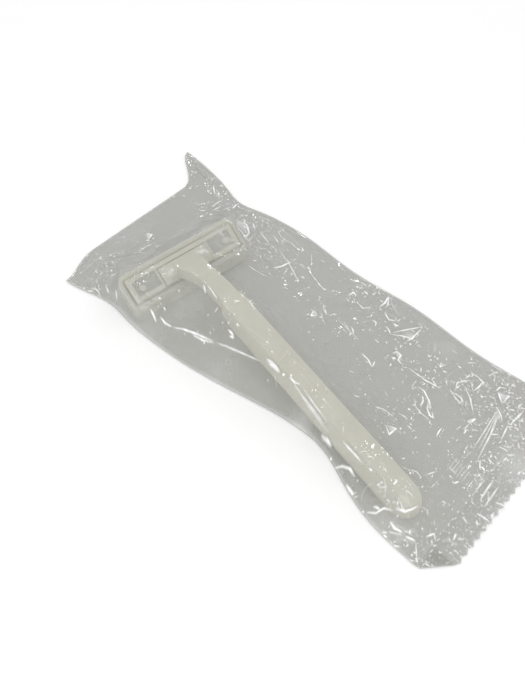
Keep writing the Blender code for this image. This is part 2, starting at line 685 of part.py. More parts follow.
def cover_ring(inset, w):
    plan = rounded_plan(
        COVER_HALF - inset,
        COVER_NEAR_Y + inset,
        COVER_FAR_Y - inset,
        max(COVER_CORNER - inset, COVER_WALL / 3),
    )
    return [(x, y, height_of_plane(w, y)) for x, y in plan]


rim_w = HEAD_THICK - COVER_RIM_DROP
bm = bmesh.new()
cover_rings = [
    cover_ring(COVER_CHAMFER, COVER_FLOOR_W),
    cover_ring(0, COVER_FLOOR_W + COVER_CHAMFER),
    cover_ring(0, rim_w - COVER_RIM_ROUND),
    cover_ring(COVER_RIM_ROUND, rim_w),
    cover_ring(COVER_WALL - COVER_RIM_ROUND, rim_w),
    cover_ring(COVER_WALL, rim_w - COVER_RIM_ROUND),
    cover_ring(COVER_WALL, -COVER_CLEAR),
]
add_rings(bm, cover_rings)
piece("blade_cover", bm, MILKY_PLASTIC, razor)

# Sachet: a flat lower film, an upper film drawn over the razor, and the welded, serrated end
ACROSS, ALONG = 24, 54
EDGE_CROWD = 0.35  # how much closer the grid's columns lie at the two sides
DRAPE_ROUNDS = 1600


def grid_points():
    rows = []
    for j in range(ALONG + 1):
        shares = [i / ACROSS for i in range(ACROSS + 1)]
        crowded = [u - EDGE_CROWD * math.sin(2 * math.pi * u) / (2 * math.pi) for u in shares]
        rows.append([sachet_point(s, j / ALONG) for s in crowded])
    return rows


def outline_points():
    """The outline once round: along the seal, up the right edge, along the far edge, down the left."""
    grid = grid_points()
    right = [row[-1] for row in grid]
    left = [row[0] for row in grid]
    return grid[0][:-1] + right[:-1] + grid[-1][::-1][:-1] + left[::-1][:-1]


bm = bmesh.new()
outline = outline_points()
add_rings(bm, [[(p.x, p.y, z) for p in outline] for z in (0, FILM)])
piece("sachet_back", bm, CLEAR_FILM, smooth=False)


def supports():
    """The pieces that hold up the upper film, as one search tree in world space."""
    bpy.context.view_layer.update()
    graph = bpy.context.evaluated_depsgraph_get()
    verts, faces = [], []
    for name in ("handle", "head_base", "blade_cover"):
        source = bpy.data.objects[name].evaluated_get(graph)
        mesh = source.to_mesh()
        start = len(verts)
        verts += [source.matrix_world @ v.co for v in mesh.vertices]
        faces += [[start + i for i in face.vertices] for face in mesh.polygons]
        source.to_mesh_clear()
    return BVHTree.FromPolygons(verts, faces)


def cell_corners(i, j):
    """The four corners of a cell as (row, column), its diagonal from the first to the third."""
    square = [(j, i), (j, i + 1), (j + 1, i + 1), (j + 1, i)]
    return square if (i + j) % 2 else square[1:] + square[:1]


def cell_probes(grid, tree, samples=6):
    """What each cell's two triangles lie over: (three corners, three weights, height needed)."""
    probes = []
    down = Vector((0, 0, -1))
    above = Vector((0, 0, HEAD_HEIGHT + BODY_HEIGHT_START))
    for j in range(ALONG):
        for i in range(ACROSS):
            a, b, c, d = cell_corners(i, j)
            for corners in ((a, b, c), (a, c, d)):
                places = [grid[row][column] for row, column in corners]
                for m in range(samples + 1):
                    for n in range(samples + 1 - m):
                        weights = (m / samples, n / samples, 1 - (m + n) / samples)
                        at = sum((p * w for p, w in zip(places, weights)), Vector((0, 0, 0)))
                        hit = tree.ray_cast(at + above, down)[0]
                        if hit is not None:
                            probes.append((corners, weights, hit.z + FILM_SEAT))
    return probes


def drape(grid, edge_height, rest_height):
    """Heights of a slack film: each point hangs a little below the mean of its neighbours, or is held up."""
    probes = cell_probes(grid, supports())
    rows = np.array([[corner[0] for corner in corners] for corners, _, _ in probes])
    columns = np.array([[corner[1] for corner in corners] for corners, _, _ in probes])
    weights = np.array([w for _, w, _ in probes])
    needed = np.array([z for _, _, z in probes])
    height = np.full((len(grid), len(grid[0])), edge_height)
    edge = np.ones(height.shape, bool)
    edge[1:-1, 1:-1] = False
    hang = FILM_SLACK * (SACHET_WIDTH / ACROSS) ** 2 / 4
    for _ in range(DRAPE_ROUNDS):
        inner = (height[:-2, 1:-1] + height[2:, 1:-1] + height[1:-1, :-2] + height[1:-1, 2:]) / 4
        height[1:-1, 1:-1] = np.maximum(inner - hang, rest_height)
        short = needed - (height[rows, columns] * weights).sum(axis=1)
        low = short > 0
        lift = short[low, None] * weights[low] / (weights[low] ** 2).sum(axis=1)[:, None]
        raised = np.zeros(height.shape)
        np.maximum.at(raised, (rows[low], columns[low]), lift)
        raised[edge] = 0
        height += raised
    return height


def fold_height(place):
    """How far the main folds raise the film there: each is a ridge that dies away at both ends."""
    raised = 0.0
    for start, end, share in FOLDS:
        a, b = sachet_point(*start), sachet_point(*end)
        along = min(max((place - a).dot(b - a) / (b - a).length_squared, 0.0), 1.0)
        away = (place - a.lerp(b, along)).length / FOLD_WIDTH
        taper = math.sin(math.pi * mix(FOLD_END, 1 - FOLD_END, along))
        raised = max(raised, FOLD_HEIGHT * share * taper * max(1 - away, 0.0))
    return raised


grid = grid_points()
upper = drape(grid, FILM + FIT, FILM + FILM_SEAT)
for j in range(1, ALONG):
    for i in range(1, ACROSS):
        upper[j, i] += fold_height(grid[j][i])
bm = bmesh.new()
layers = []
for thick in (0, FILM):
    layer = []
    for j, row in enumerate(grid):
        layer.append([bm.verts.new((p.x, p.y, upper[j, i] + thick)) for i, p in enumerate(row)])
    layers.append(layer)
for j in range(ALONG):
    for i in range(ACROSS):
        a, b, c, d = cell_corners(i, j)
        for corners in ((a, b, c), (a, c, d)):
            bm.faces.new([layers[1][row][column] for row, column in corners])
            bm.faces.new([layers[0][row][column] for row, column in corners[::-1]])
round_it = [(0, i) for i in range(ACROSS)] + [(j, ACROSS) for j in range(ALONG)]
round_it += [(ALONG, i) for i in range(ACROSS, 0, -1)] + [(j, 0) for j in range(ALONG, 0, -1)]
for (b0, a0), (b1, a1) in zip(round_it, round_it[1:] + round_it[:1]):
    bm.faces.new((layers[0][b0][a0], layers[0][b1][a1], layers[1][b1][a1], layers[1][b0][a0]))
piece("sachet_front", bm, CLEAR_FILM)

# End seal: both films welded into one band, its left corner folded under, its end cut in teeth
left_x, right_x = near_edge(0).x - ORIGIN.x, near_edge(1).x - ORIGIN.x
inner_y, end_y = SEAL_Y - SEAL_GAP - ORIGIN.y, END_Y - ORIGIN.y
teeth_from = left_x + FOLDED_CORNER
teeth = max(1, round((right_x - teeth_from) / TOOTH_PITCH))
pitch = (right_x - teeth_from) / teeth
band = [(left_x, inner_y), (left_x, end_y + FOLDED_CORNER), (teeth_from, end_y + TOOTH_DEPTH)]
for i in range(teeth):
    band.append((teeth_from + (i + 0.5) * pitch, end_y))
    band.append((teeth_from + (i + 1) * pitch, end_y + TOOTH_DEPTH))
band.append((right_x, inner_y))
bm = bmesh.new()
add_rings(bm, [[(x, y, z) for x, y in band[::-1]] for z in (0, SEAL_THICK)])
piece("sachet_end_seal", bm, CLEAR_FILM, smooth=False)
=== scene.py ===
"""A disposable twin-blade razor with its blade cover on, in a clear, crinkled film sachet.

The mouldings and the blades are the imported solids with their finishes. The sachet's films, welds and
cut end are made here, from the outlines of the solids that they replace and draped over the razor.
Metres, +Z up: the sachet lies on z = 0, with the razor's head towards +Y.
"""

import math

import bmesh
import bpy
import numpy as np
from mathutils import Matrix, Vector
from mathutils.bvhtree import BVHTree


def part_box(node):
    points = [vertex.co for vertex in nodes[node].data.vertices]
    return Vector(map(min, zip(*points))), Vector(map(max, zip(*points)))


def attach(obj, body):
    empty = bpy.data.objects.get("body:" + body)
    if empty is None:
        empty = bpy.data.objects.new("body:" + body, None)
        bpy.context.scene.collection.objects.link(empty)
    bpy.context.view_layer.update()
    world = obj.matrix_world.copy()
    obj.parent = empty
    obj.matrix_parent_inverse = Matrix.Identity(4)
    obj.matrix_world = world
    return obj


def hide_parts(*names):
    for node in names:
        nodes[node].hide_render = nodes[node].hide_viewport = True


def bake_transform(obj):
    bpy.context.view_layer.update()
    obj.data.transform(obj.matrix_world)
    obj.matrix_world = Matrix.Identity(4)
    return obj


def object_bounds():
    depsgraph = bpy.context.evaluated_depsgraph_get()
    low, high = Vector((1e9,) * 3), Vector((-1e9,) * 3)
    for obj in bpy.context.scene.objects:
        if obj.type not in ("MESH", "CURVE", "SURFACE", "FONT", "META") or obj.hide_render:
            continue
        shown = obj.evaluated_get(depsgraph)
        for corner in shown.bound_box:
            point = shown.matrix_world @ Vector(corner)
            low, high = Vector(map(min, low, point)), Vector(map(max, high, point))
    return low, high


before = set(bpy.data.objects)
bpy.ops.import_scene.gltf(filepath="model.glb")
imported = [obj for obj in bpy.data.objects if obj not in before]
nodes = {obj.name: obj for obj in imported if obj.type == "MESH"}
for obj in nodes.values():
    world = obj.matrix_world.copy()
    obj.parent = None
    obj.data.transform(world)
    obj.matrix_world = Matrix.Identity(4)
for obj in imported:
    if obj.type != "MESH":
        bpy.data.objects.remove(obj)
cad_low, cad_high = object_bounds()
MM = 0.001

# The view
# The photograph looks down at 55 degrees, across the sachet from its near left. The camera is placed
# from the middle of the blade cover, whose length is known.
EYE_FROM_COVER = Vector((-87.5, -116.0, 160.7)) * MM
LOOK_TURN = math.radians(43.3)  # round from +X
LOOK_DOWN = math.radians(55.2)
FOCAL_LENGTH = 34.78
SENSOR = 36.0
PHOTO_WIDTH, PHOTO_HEIGHT = 525, 700

cover_low, cover_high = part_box("blade_cover")
lens = bpy.data.cameras.new("photo_view")
lens.lens = FOCAL_LENGTH
lens.sensor_width = SENSOR
lens.clip_start = 1 * MM
camera = bpy.data.objects.new("photo_view", lens)
camera.location = (cover_low + cover_high) / 2 + EYE_FROM_COVER
camera.rotation_euler = (math.pi / 2 - LOOK_DOWN, 0, LOOK_TURN - math.pi / 2)
bpy.context.scene.collection.objects.link(camera)
bpy.context.scene.camera = camera
bpy.context.scene.view_settings.view_transform = "Standard"


# The table
# A white sheet under soft, even light. It is only the surface that the sachet lies on.
def new_material(name):
    """A node material and its Principled shader."""
    made = bpy.data.materials.new(name)
    made.use_nodes = True
    return made, made.node_tree, made.node_tree.nodes["Principled BSDF"]


def node(tree, kind, **settings):
    """A node with its settings, and with the inputs that are named in capitals."""
    made = tree.nodes.new(kind)
    for key, value in settings.items():
        if key.isupper():
            made.inputs[key.replace("_", " ").title()].default_value = value
        else:
            setattr(made, key, value)
    return made


def new_object(name, mesh, finish):
    """A mesh as an object of the scene, with its material."""
    made = bpy.data.objects.new(name, mesh)
    bpy.context.scene.collection.objects.link(made)
    mesh.materials.append(finish)
    return made


TABLE_WHITE = (0.98, 0.98, 0.98, 1)
TABLE_SIZE = 1.1
TABLE_DROP = 0.2 * MM
TABLE_FADES = (0.25, 0.5)  # from the sachet's middle: past this it fades into the white surround

table_paint, tree, shader = new_material("white_table")
shader.inputs["Base Color"].default_value = TABLE_WHITE
shader.inputs["Roughness"].default_value = 0.9
shader.inputs["Specular IOR Level"].default_value = 0.1
paper = node(tree, "ShaderNodeTexNoise", SCALE=900.0, DETAIL=3.0)
grain = node(tree, "ShaderNodeBump", STRENGTH=0.15, DISTANCE=0.02 * MM)
tree.links.new(paper.outputs["Fac"], grain.inputs["Height"])
tree.links.new(grain.outputs["Normal"], shader.inputs["Normal"])
place = node(tree, "ShaderNodeTexCoord")
far_out = node(tree, "ShaderNodeVectorMath", operation="LENGTH")
tree.links.new(place.outputs["Object"], far_out.inputs[0])
solid = node(tree, "ShaderNodeMapRange", interpolation_type="SMOOTHSTEP")
solid.inputs["From Min"].default_value, solid.inputs["From Max"].default_value = TABLE_FADES
solid.inputs["To Min"].default_value = 1.0
solid.inputs["To Max"].default_value = 0.0
tree.links.new(far_out.outputs["Value"], solid.inputs["Value"])
tree.links.new(solid.outputs["Result"], shader.inputs["Alpha"])

bm = bmesh.new()
bmesh.ops.create_grid(bm, x_segments=2, y_segments=2, size=TABLE_SIZE / 2)
mesh = bpy.data.meshes.new("table")
bm.to_mesh(mesh)
bm.free()
table = new_object("table", mesh, table_paint)
table.location.z = -TABLE_DROP

# The light
# An even white surround, with thin bright lamps round the directions in which flat film mirrors the
# camera's view: creased film catches them as fine glints, and flat film does not.
LAMP_DISTANCE = 0.7
LAMP_RADIANCE = 22.0
LAMP_WIDTH = math.radians(0.9)  # as the object sees it
SHORT_LAMP = math.radians(3.0)
RING_LAMP = math.radians(12.0)
SHORT_LAMPS = (  # where each stands: degrees round from +X, and up
    (20, 37),
    (85, 60),
    (77, 30),
    (28, 80),
    (-22, 60),
    (-30, 36),
    (50, 21),
    (66, 70),
    (160, 64),
    (112, 38),
)
RING_MIDDLE = (38, 55)  # the middle of those mirror directions
RING_REACH = math.radians(37.0)
RING_COUNT = 11
RING_GAPS = (7, 10)  # places left empty: smooth slopes of the film would mirror a lamp there
SURROUND_LIGHT = 0.71
FILL_TOWARDS = (222, 38)  # a broad, weak lamp on the near left
FILL_RADIANCE = 1.9
FILL_WIDTH = math.radians(40.0)
SURROUND_COLOUR = (1.0, 1.0, 1.0, 1)

world = bpy.data.worlds.new("surround")
bpy.context.scene.world = world
world.use_nodes = True
tree = world.node_tree
background = tree.nodes["Background"]
background.inputs["Color"].default_value = SURROUND_COLOUR
path = node(tree, "ShaderNodeLightPath")
seen = node(tree, "ShaderNodeMath", operation="MAXIMUM")
tree.links.new(path.outputs["Is Camera Ray"], seen.inputs[0])
tree.links.new(path.outputs["Is Glossy Ray"], seen.inputs[1])
mirrored = node(tree, "ShaderNodeMath", operation="MAXIMUM")
tree.links.new(seen.outputs[0], mirrored.inputs[0])
tree.links.new(path.outputs["Is Transmission Ray"], mirrored.inputs[1])
level = node(tree, "ShaderNodeMapRange")
level.inputs["To Min"].default_value = SURROUND_LIGHT
level.inputs["To Max"].default_value = 1.0
tree.links.new(mirrored.outputs[0], level.inputs["Value"])
tree.links.new(level.outputs["Result"], background.inputs["Strength"])

aim = (cad_low + cad_high) / 2


def direction(turn, rise):
    """The direction at degrees round from +X and up from the table."""
    turn, rise = math.radians(turn), math.radians(rise)
    return Vector((math.cos(rise) * math.cos(turn), math.cos(rise) * math.sin(turn), math.sin(rise)))


def place_lamp(name, towards, along, length, width=LAMP_WIDTH, radiance=LAMP_RADIANCE):
    """A strip of light that faces the object, with its length along a direction."""
    lamp = bpy.data.lights.new(name, "AREA")
    lamp.shape = "RECTANGLE"
    lamp.size = LAMP_DISTANCE * length
    lamp.size_y = LAMP_DISTANCE * width
    lamp.energy = radiance * math.pi * lamp.size * lamp.size_y
    holder = bpy.data.objects.new(name, lamp)
    x = along.normalized()
    turn = Matrix((x, towards.cross(x), towards)).transposed()
    holder.matrix_world = Matrix.Translation(aim + towards * LAMP_DISTANCE) @ turn.to_4x4()
    bpy.context.scene.collection.objects.link(holder)


for number, (turn, rise) in enumerate(SHORT_LAMPS):
    towards = direction(turn, rise)
    place_lamp(f"short_lamp_{number}", towards, Vector((0, 0, 1)).cross(towards), SHORT_LAMP)
towards = direction(*FILL_TOWARDS)
place_lamp("fill_lamp", towards, Vector((0, 0, 1)).cross(towards), FILL_WIDTH, FILL_WIDTH, FILL_RADIANCE)
middle = direction(*RING_MIDDLE)
right = middle.cross(Vector((0, 0, 1))).normalized()
up = right.cross(middle)
for number in range(RING_COUNT):
    a = 2 * math.pi * number / RING_COUNT
    out = right * math.cos(a) + up * math.sin(a)
    towards = middle * math.cos(RING_REACH) + out * math.sin(RING_REACH)
    if number not in RING_GAPS:
        place_lamp(f"ring_lamp_{number}", towards, towards.cross(middle), RING_LAMP)


# Handle and blade spacer
# Injection-moulded cream polystyrene, as the head is: the channel handle, and the strip between the
# blades. The skin is satin with a fine spark-eroded grain, and a little cloudy in tone.
def new_group(name, inputs, outputs):
    """A shader node group: inputs and outputs are (socket name, kind, start value)."""
    tree = bpy.data.node_groups.new(name, "ShaderNodeTree")
    for title, kind, value in inputs:
        socket = tree.interface.new_socket(title, in_out="INPUT", socket_type=f"NodeSocket{kind}")
        socket.default_value = value
    for title, kind in outputs:
        tree.interface.new_socket(title, in_out="OUTPUT", socket_type=f"NodeSocket{kind}")
    return tree, tree.nodes.new("NodeGroupInput"), tree.nodes.new("NodeGroupOutput")


def place_group(tree, group, **values):
    """A group placed in a material, with the inputs that are named in capitals."""
    made = tree.nodes.new("ShaderNodeGroup")
    made.node_tree = group
    for key, value in values.items():
        made.inputs[key.replace("_", " ").title()].default_value = value
    return made


moulded_skin, skin_in, skin_out = new_group(
    "moulded_skin",
    (
        ("Colour", "Color", (0.8, 0.8, 0.8, 1)),
        ("Cloud Colour", "Color", (0.7, 0.7, 0.7, 1)),
        ("Cloud Scale", "Float", 120.0),
        ("Grain Scale", "Float", 3500.0),
        ("Roughness", "Float", 0.4),
    ),
    (("Colour", "Color"), ("Roughness", "Float"), ("Height", "Float")),
)
links = moulded_skin.links
place = node(moulded_skin, "ShaderNodeTexCoord")
cloud = node(moulded_skin, "ShaderNodeTexNoise", DETAIL=4.0, ROUGHNESS=0.6)
links.new(place.outputs["Object"], cloud.inputs["Vector"])
links.new(skin_in.outputs["Cloud Scale"], cloud.inputs["Scale"])
spread = node(moulded_skin, "ShaderNodeMapRange")
spread.inputs["From Min"].default_value = 0.38
spread.inputs["From Max"].default_value = 0.66
links.new(cloud.outputs["Fac"], spread.inputs["Value"])
tone = node(moulded_skin, "ShaderNodeMix", data_type="RGBA")
links.new(spread.outputs["Result"], tone.inputs["Factor"])
links.new(skin_in.outputs["Colour"], tone.inputs["A"])
links.new(skin_in.outputs["Cloud Colour"], tone.inputs["B"])
links.new(tone.outputs["Result"], skin_out.inputs["Colour"])
erosion = node(moulded_skin, "ShaderNodeTexNoise", DETAIL=2.0)
links.new(place.outputs["Object"], erosion.inputs["Vector"])
links.new(skin_in.outputs["Grain Scale"], erosion.inputs["Scale"])
links.new(erosion.outputs["Fac"], skin_out.inputs["Height"])
gloss = node(moulded_skin, "ShaderNodeMath", operation="MULTIPLY_ADD")
gloss.inputs[1].default_value = 0.16
links.new(cloud.outputs["Fac"], gloss.inputs[0])
links.new(skin_in.outputs["Roughness"], gloss.inputs[2])
links.new(gloss.outputs[0], skin_out.inputs["Roughness"])


def moulded(name, colour, cloud_colour, cloud_scale, roughness, edge_round, grain_depth):
    """A moulded plastic: the cloudy, finely grained skin, with its edges rounded off in the shading."""
    made, tree, shader = new_material(name)
    skin = place_group(tree, moulded_skin, COLOUR=colour, CLOUD_COLOUR=cloud_colour)
    skin.inputs["Cloud Scale"].default_value = cloud_scale
    skin.inputs["Roughness"].default_value = roughness
    tree.links.new(skin.outputs["Colour"], shader.inputs["Base Color"])
    tree.links.new(skin.outputs["Roughness"], shader.inputs["Roughness"])
    rounding = tree.nodes.new("ShaderNodeBevel")
    rounding.samples = 6
    rounding.inputs["Radius"].default_value = edge_round
    relief = node(tree, "ShaderNodeBump", STRENGTH=0.5, DISTANCE=grain_depth)
    tree.links.new(rounding.outputs["Normal"], relief.inputs["Normal"])
    tree.links.new(skin.outputs["Height"], relief.inputs["Height"])
    tree.links.new(relief.outputs["Normal"], shader.inputs["Normal"])
    return made, shader


def finish_node(name, finish):
    """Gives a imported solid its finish."""
    mesh = nodes[name].data
    mesh.materials.clear()
    mesh.materials.append(finish)


def let_light_in(shader, weight, spread, reach):
    """Lets light wander under a plastic's skin: how much of it, how each colour spreads, and how far."""
    shader.inputs["Subsurface Weight"].default_value = weight
    shader.inputs["Subsurface Radius"].default_value = spread
    shader.inputs["Subsurface Scale"].default_value = reach


CREAM = (0.82, 0.81, 0.70, 1)
CREAM_CLOUDS = (0.76, 0.745, 0.63, 1)


def cream_moulding(name):
    """The cream polystyrene of the handle and the head."""
    made, shader = moulded(
        name,
        CREAM,
        CREAM_CLOUDS,
        cloud_scale=120.0,
        roughness=0.42,
        edge_round=0.22 * MM,
        grain_depth=0.012 * MM,
    )
    let_light_in(shader, weight=0.15, spread=(1.0, 0.9, 0.7), reach=0.8 * MM)
    return made, shader


cream, shader = cream_moulding("cream_polystyrene")
for name in ("handle", "blade_spacer"):
    finish_node(name, cream)

# Head base and cap
# Mouldings of the same cream plastic, on both sides of the blades: the cap's pegs pass through them to
# the pockets in the base's back. The pocket floors are painted grey, as painted shade in those recesses.
POCKET_SHADE_GREY = (0.45, 0.46, 0.43, 1)
FLOOR_AT = 0.25 * MM  # how far under the head's back the grey begins
FLOOR_FACES = (0.9, 0.98)  # how squarely a face looks out of the back before it is grey

# Painted shade: the floors of the pockets, sunk under the head's back and looking out of it, are mixed
# towards grey.
shaded_pockets, shader = cream_moulding("cream_with_painted_pocket_shade")
head = nodes["head_base"].data
back = max(head.polygons, key=lambda face: face.area * (face.normal.z > 0.5))
back_normal = back.normal.copy()
back_height = max(v.co.dot(back_normal) for v in head.vertices)
tree = shaded_pockets.node_tree
place = node(tree, "ShaderNodeTexCoord")
depth = node(tree, "ShaderNodeVectorMath", operation="DOT_PRODUCT")
depth.inputs[1].default_value = back_normal
tree.links.new(place.outputs["Object"], depth.inputs[0])
sunk = node(tree, "ShaderNodeMapRange")
sunk.inputs["From Min"].default_value = back_height - FLOOR_AT
sunk.inputs["From Max"].default_value = back_height - 2 * FLOOR_AT
tree.links.new(depth.outputs["Value"], sunk.inputs["Value"])
surface = node(tree, "ShaderNodeNewGeometry")
facing = node(tree, "ShaderNodeVectorMath", operation="DOT_PRODUCT")
facing.inputs[1].default_value = back_normal
tree.links.new(surface.outputs["True Normal"], facing.inputs[0])
floor = node(tree, "ShaderNodeMapRange")
floor.inputs["From Min"].default_value, floor.inputs["From Max"].default_value = FLOOR_FACES
tree.links.new(facing.outputs["Value"], floor.inputs["Value"])
mask = node(tree, "ShaderNodeMath", operation="MULTIPLY")
tree.links.new(sunk.outputs["Result"], mask.inputs[0])
tree.links.new(floor.outputs["Result"], mask.inputs[1])
skin_colour = shader.inputs["Base Color"].links[0].from_socket
tone = node(tree, "ShaderNodeMix", data_type="RGBA")
tone.inputs["B"].default_value = POCKET_SHADE_GREY
tree.links.new(mask.outputs[0], tone.inputs["Factor"])
tree.links.new(skin_colour, tone.inputs["A"])
tree.links.new(tone.outputs["Result"], shader.inputs["Base Color"])
for name in ("head_base", "head_cap"):
    finish_node(name, shaded_pockets)

# Blades
# Two strips of stainless steel, ground on both sides of the edge and honed. They are held between the
# head's base and cap, and only show when the razor is lifted out of its cover.
SCRATCH_SCALE = (60.0, 2500.0, 2500.0)  # fine scratches along the blade

steel, tree, shader = new_material("honed_steel")
shader.inputs["Metallic"].default_value = 1.0
place = node(tree, "ShaderNodeTexCoord")
stretch = node(tree, "ShaderNodeMapping")
stretch.inputs["Scale"].default_value = SCRATCH_SCALE
tree.links.new(place.outputs["Object"], stretch.inputs["Vector"])
scratches = node(tree, "ShaderNodeTexNoise", SCALE=1.0, DETAIL=5.0)
tree.links.new(stretch.outputs["Vector"], scratches.inputs["Vector"])
shine = node(tree, "ShaderNodeMapRange")
shine.inputs["To Min"].default_value = 0.18
shine.inputs["To Max"].default_value = 0.36
tree.links.new(scratches.outputs["Fac"], shine.inputs["Value"])
tree.links.new(shine.outputs["Result"], shader.inputs["Roughness"])
tint = node(tree, "ShaderNodeMix", data_type="RGBA")
tint.inputs["A"].default_value = (0.58, 0.59, 0.60, 1)
tint.inputs["B"].default_value = (0.72, 0.73, 0.74, 1)
tree.links.new(scratches.outputs["Fac"], tint.inputs["Factor"])
tree.links.new(tint.outputs["Result"], shader.inputs["Base Color"])
for name in ("lower_blade", "upper_blade"):
    finish_node(name, steel)

# Blade cover
# A tray of natural, milky polypropylene with an olive cast, pushed over the head. It lets some light
# through its walls.
MILKY_OLIVE = (0.70, 0.70, 0.60, 1)
MILKY_CLOUDS = (0.63, 0.64, 0.53, 1)

milky, shader = moulded(
    "milky_polypropylene",
    MILKY_OLIVE,
    MILKY_CLOUDS,
    cloud_scale=70.0,
    roughness=0.30,
    edge_round=0.3 * MM,
    grain_depth=0.008 * MM,
)
let_light_in(shader, weight=0.9, spread=(1.0, 1.0, 0.8), reach=4.0 * MM)
finish_node("blade_cover", milky)


# Film of the sachet
# One sheet of clear film about 0.03 mm thick, folded round the razor and welded along its sides. It is
# glossy and grey where it lies over the table: a little of that grey is its own smoke where both layers lie
# together, and the rest is painted shade that darkens the table under it. It turns milky where it is
# creased or welded.
# Its clear colour is that smoky grey, partly painted shade over the table; its milky colour also paints the
# white crease lines, which are partly painted glints.
clear_haze, haze_in, haze_out = new_group(
    "clear_haze",
    (
        ("Clear Colour", "Color", (0.43, 0.43, 0.395, 1)),
        ("Milky And Glint Colour", "Color", (1.0, 1.0, 0.99, 1)),
        ("Clear Alpha", "Float", 0.4),
        ("Milky Alpha", "Float", 1.0),
        ("Mottle Scale", "Float", 260.0),
    ),
    (("Colour", "Color"), ("Alpha", "Float"), ("Roughness", "Float"), ("Height", "Float")),
)
links = clear_haze.links
haze_and_painted_light = node(clear_haze, "ShaderNodeAttribute", attribute_name="haze_and_painted_light")
place = node(clear_haze, "ShaderNodeTexCoord")
mottle = node(clear_haze, "ShaderNodeTexNoise", DETAIL=5.0, ROUGHNESS=0.65)
links.new(place.outputs["Object"], mottle.inputs["Vector"])
links.new(haze_in.outputs["Mottle Scale"], mottle.inputs["Scale"])
patch = node(clear_haze, "ShaderNodeMapRange")
patch.inputs["From Min"].default_value = 0.45
patch.inputs["From Max"].default_value = 0.8
patch.inputs["To Max"].default_value = 0.07
links.new(mottle.outputs["Fac"], patch.inputs["Value"])
total = node(clear_haze, "ShaderNodeMath", operation="ADD", use_clamp=True)
links.new(haze_and_painted_light.outputs["Fac"], total.inputs[0])
links.new(patch.outputs["Result"], total.inputs[1])
colour = node(clear_haze, "ShaderNodeMix", data_type="RGBA")
links.new(total.outputs[0], colour.inputs["Factor"])
links.new(haze_in.outputs["Clear Colour"], colour.inputs["A"])
links.new(haze_in.outputs["Milky And Glint Colour"], colour.inputs["B"])
links.new(colour.outputs["Result"], haze_out.inputs["Colour"])
alpha = node(clear_haze, "ShaderNodeMix", data_type="FLOAT")
links.new(total.outputs[0], alpha.inputs["Factor"])
links.new(haze_in.outputs["Clear Alpha"], alpha.inputs["A"])
links.new(haze_in.outputs["Milky Alpha"], alpha.inputs["B"])
links.new(alpha.outputs["Result"], haze_out.inputs["Alpha"])
soft = node(clear_haze, "ShaderNodeMapRange")
soft.inputs["To Min"].default_value = 0.05
soft.inputs["To Max"].default_value = 0.12
links.new(total.outputs[0], soft.inputs["Value"])
links.new(soft.outputs["Result"], haze_out.inputs["Roughness"])
pinch = node(clear_haze, "ShaderNodeTexVoronoi", feature="DISTANCE_TO_EDGE", SCALE=420.0)
links.new(place.outputs["Object"], pinch.inputs["Vector"])
links.new(pinch.outputs["Distance"], haze_out.inputs["Height"])

FILM_INDEX = 1.8  # more than the plastic's own 1.5: one surface stands for both faces of a film


def film_material(name, **values):
    """Clear film: its haze and painted light come from the mesh, and the reflections from the shader."""
    made, tree, shader = new_material(name)
    shader.inputs["IOR"].default_value = FILM_INDEX
    look = place_group(tree, clear_haze, **values)
    tree.links.new(look.outputs["Colour"], shader.inputs["Base Color"])
    tree.links.new(look.outputs["Alpha"], shader.inputs["Alpha"])
    tree.links.new(look.outputs["Roughness"], shader.inputs["Roughness"])
    relief = node(tree, "ShaderNodeBump", STRENGTH=0.35, DISTANCE=0.06 * MM)
    tree.links.new(look.outputs["Height"], relief.inputs["Height"])
    tree.links.new(relief.outputs["Normal"], shader.inputs["Normal"])
    return made


film = film_material("clear_film")
LOOKS_UP = 0.9  # the height of a face's normal, over which it belongs to a flat solid's top


def outline_of(name):
    """The outline of a flat solid seen from above, as points in order round it, in millimetres."""
    bm = bmesh.new()
    bm.from_mesh(nodes[name].data)
    bmesh.ops.remove_doubles(bm, verts=bm.verts, dist=1e-6)
    following = {}
    for face in bm.faces:
        if face.normal.z < LOOKS_UP:
            continue
        for loop in face.loops:
            if all(other.normal.z < LOOKS_UP for other in loop.edge.link_faces if other is not face):
                following[loop.vert.index] = loop.link_loop_next.vert.index
    bm.verts.ensure_lookup_table()
    ring = [next(iter(following))]
    while following[ring[-1]] != ring[0]:
        ring.append(following[ring[-1]])
    points = np.array([bm.verts[i].co.xy for i in ring]) / MM
    bm.free()
    return points


def chain(ring, start, end, count):
    """The outline from one corner to another, against the clock, as evenly spread points."""
    run = np.roll(ring, -start, axis=0)[: (end - start) % len(ring) + 1]
    along = np.r_[0, np.cumsum(np.linalg.norm(np.diff(run, axis=0), axis=1))]
    at = np.linspace(0, along[-1], count)
    return np.c_[np.interp(at, along, run[:, 0]), np.interp(at, along, run[:, 1])]


outline = outline_of("sachet_back")
x, y = outline.T
near_left, near_right = np.argmin(x + y), np.argmax(x - y)
ear_right, ear_left = np.argmax(x + y), np.argmax(y - x)


def outline_runs(cell):
    """The outline's near, right, far and left runs as points about a cell apart, in millimetres."""
    columns, rows = int(np.ptp(outline[:, 0]) / cell), int(np.ptp(outline[:, 1]) / cell)
    near = chain(outline, near_left, near_right, columns)
    right = chain(outline, near_right, ear_right, rows)
    far = chain(outline, ear_right, ear_left, columns)[::-1]
    left = chain(outline, ear_left, near_left, rows)[::-1]
    return near, right, far, left


def film_grid(cell):
    """A grid of points that fills the outline evenly, in millimetres."""
    near, right, far, left = outline_runs(cell)
    s = np.linspace(0, 1, len(near))[None, :, None]
    t = np.linspace(0, 1, len(right))[:, None, None]
    across = left[:, None] * (1 - s) + right[:, None] * s
    along = near[None] * (1 - t) + far[None] * t
    corners = (near[0] * (1 - s) + near[-1] * s) * (1 - t) + (far[0] * (1 - s) + far[-1] * s) * t
    return across + along - corners


FACETS_REPEAT = 64  # the lifts of the facets' corners repeat after this many
FACETS_BEND = 0.42  # how far their net is bent out of its regular lines, as a share of a facet


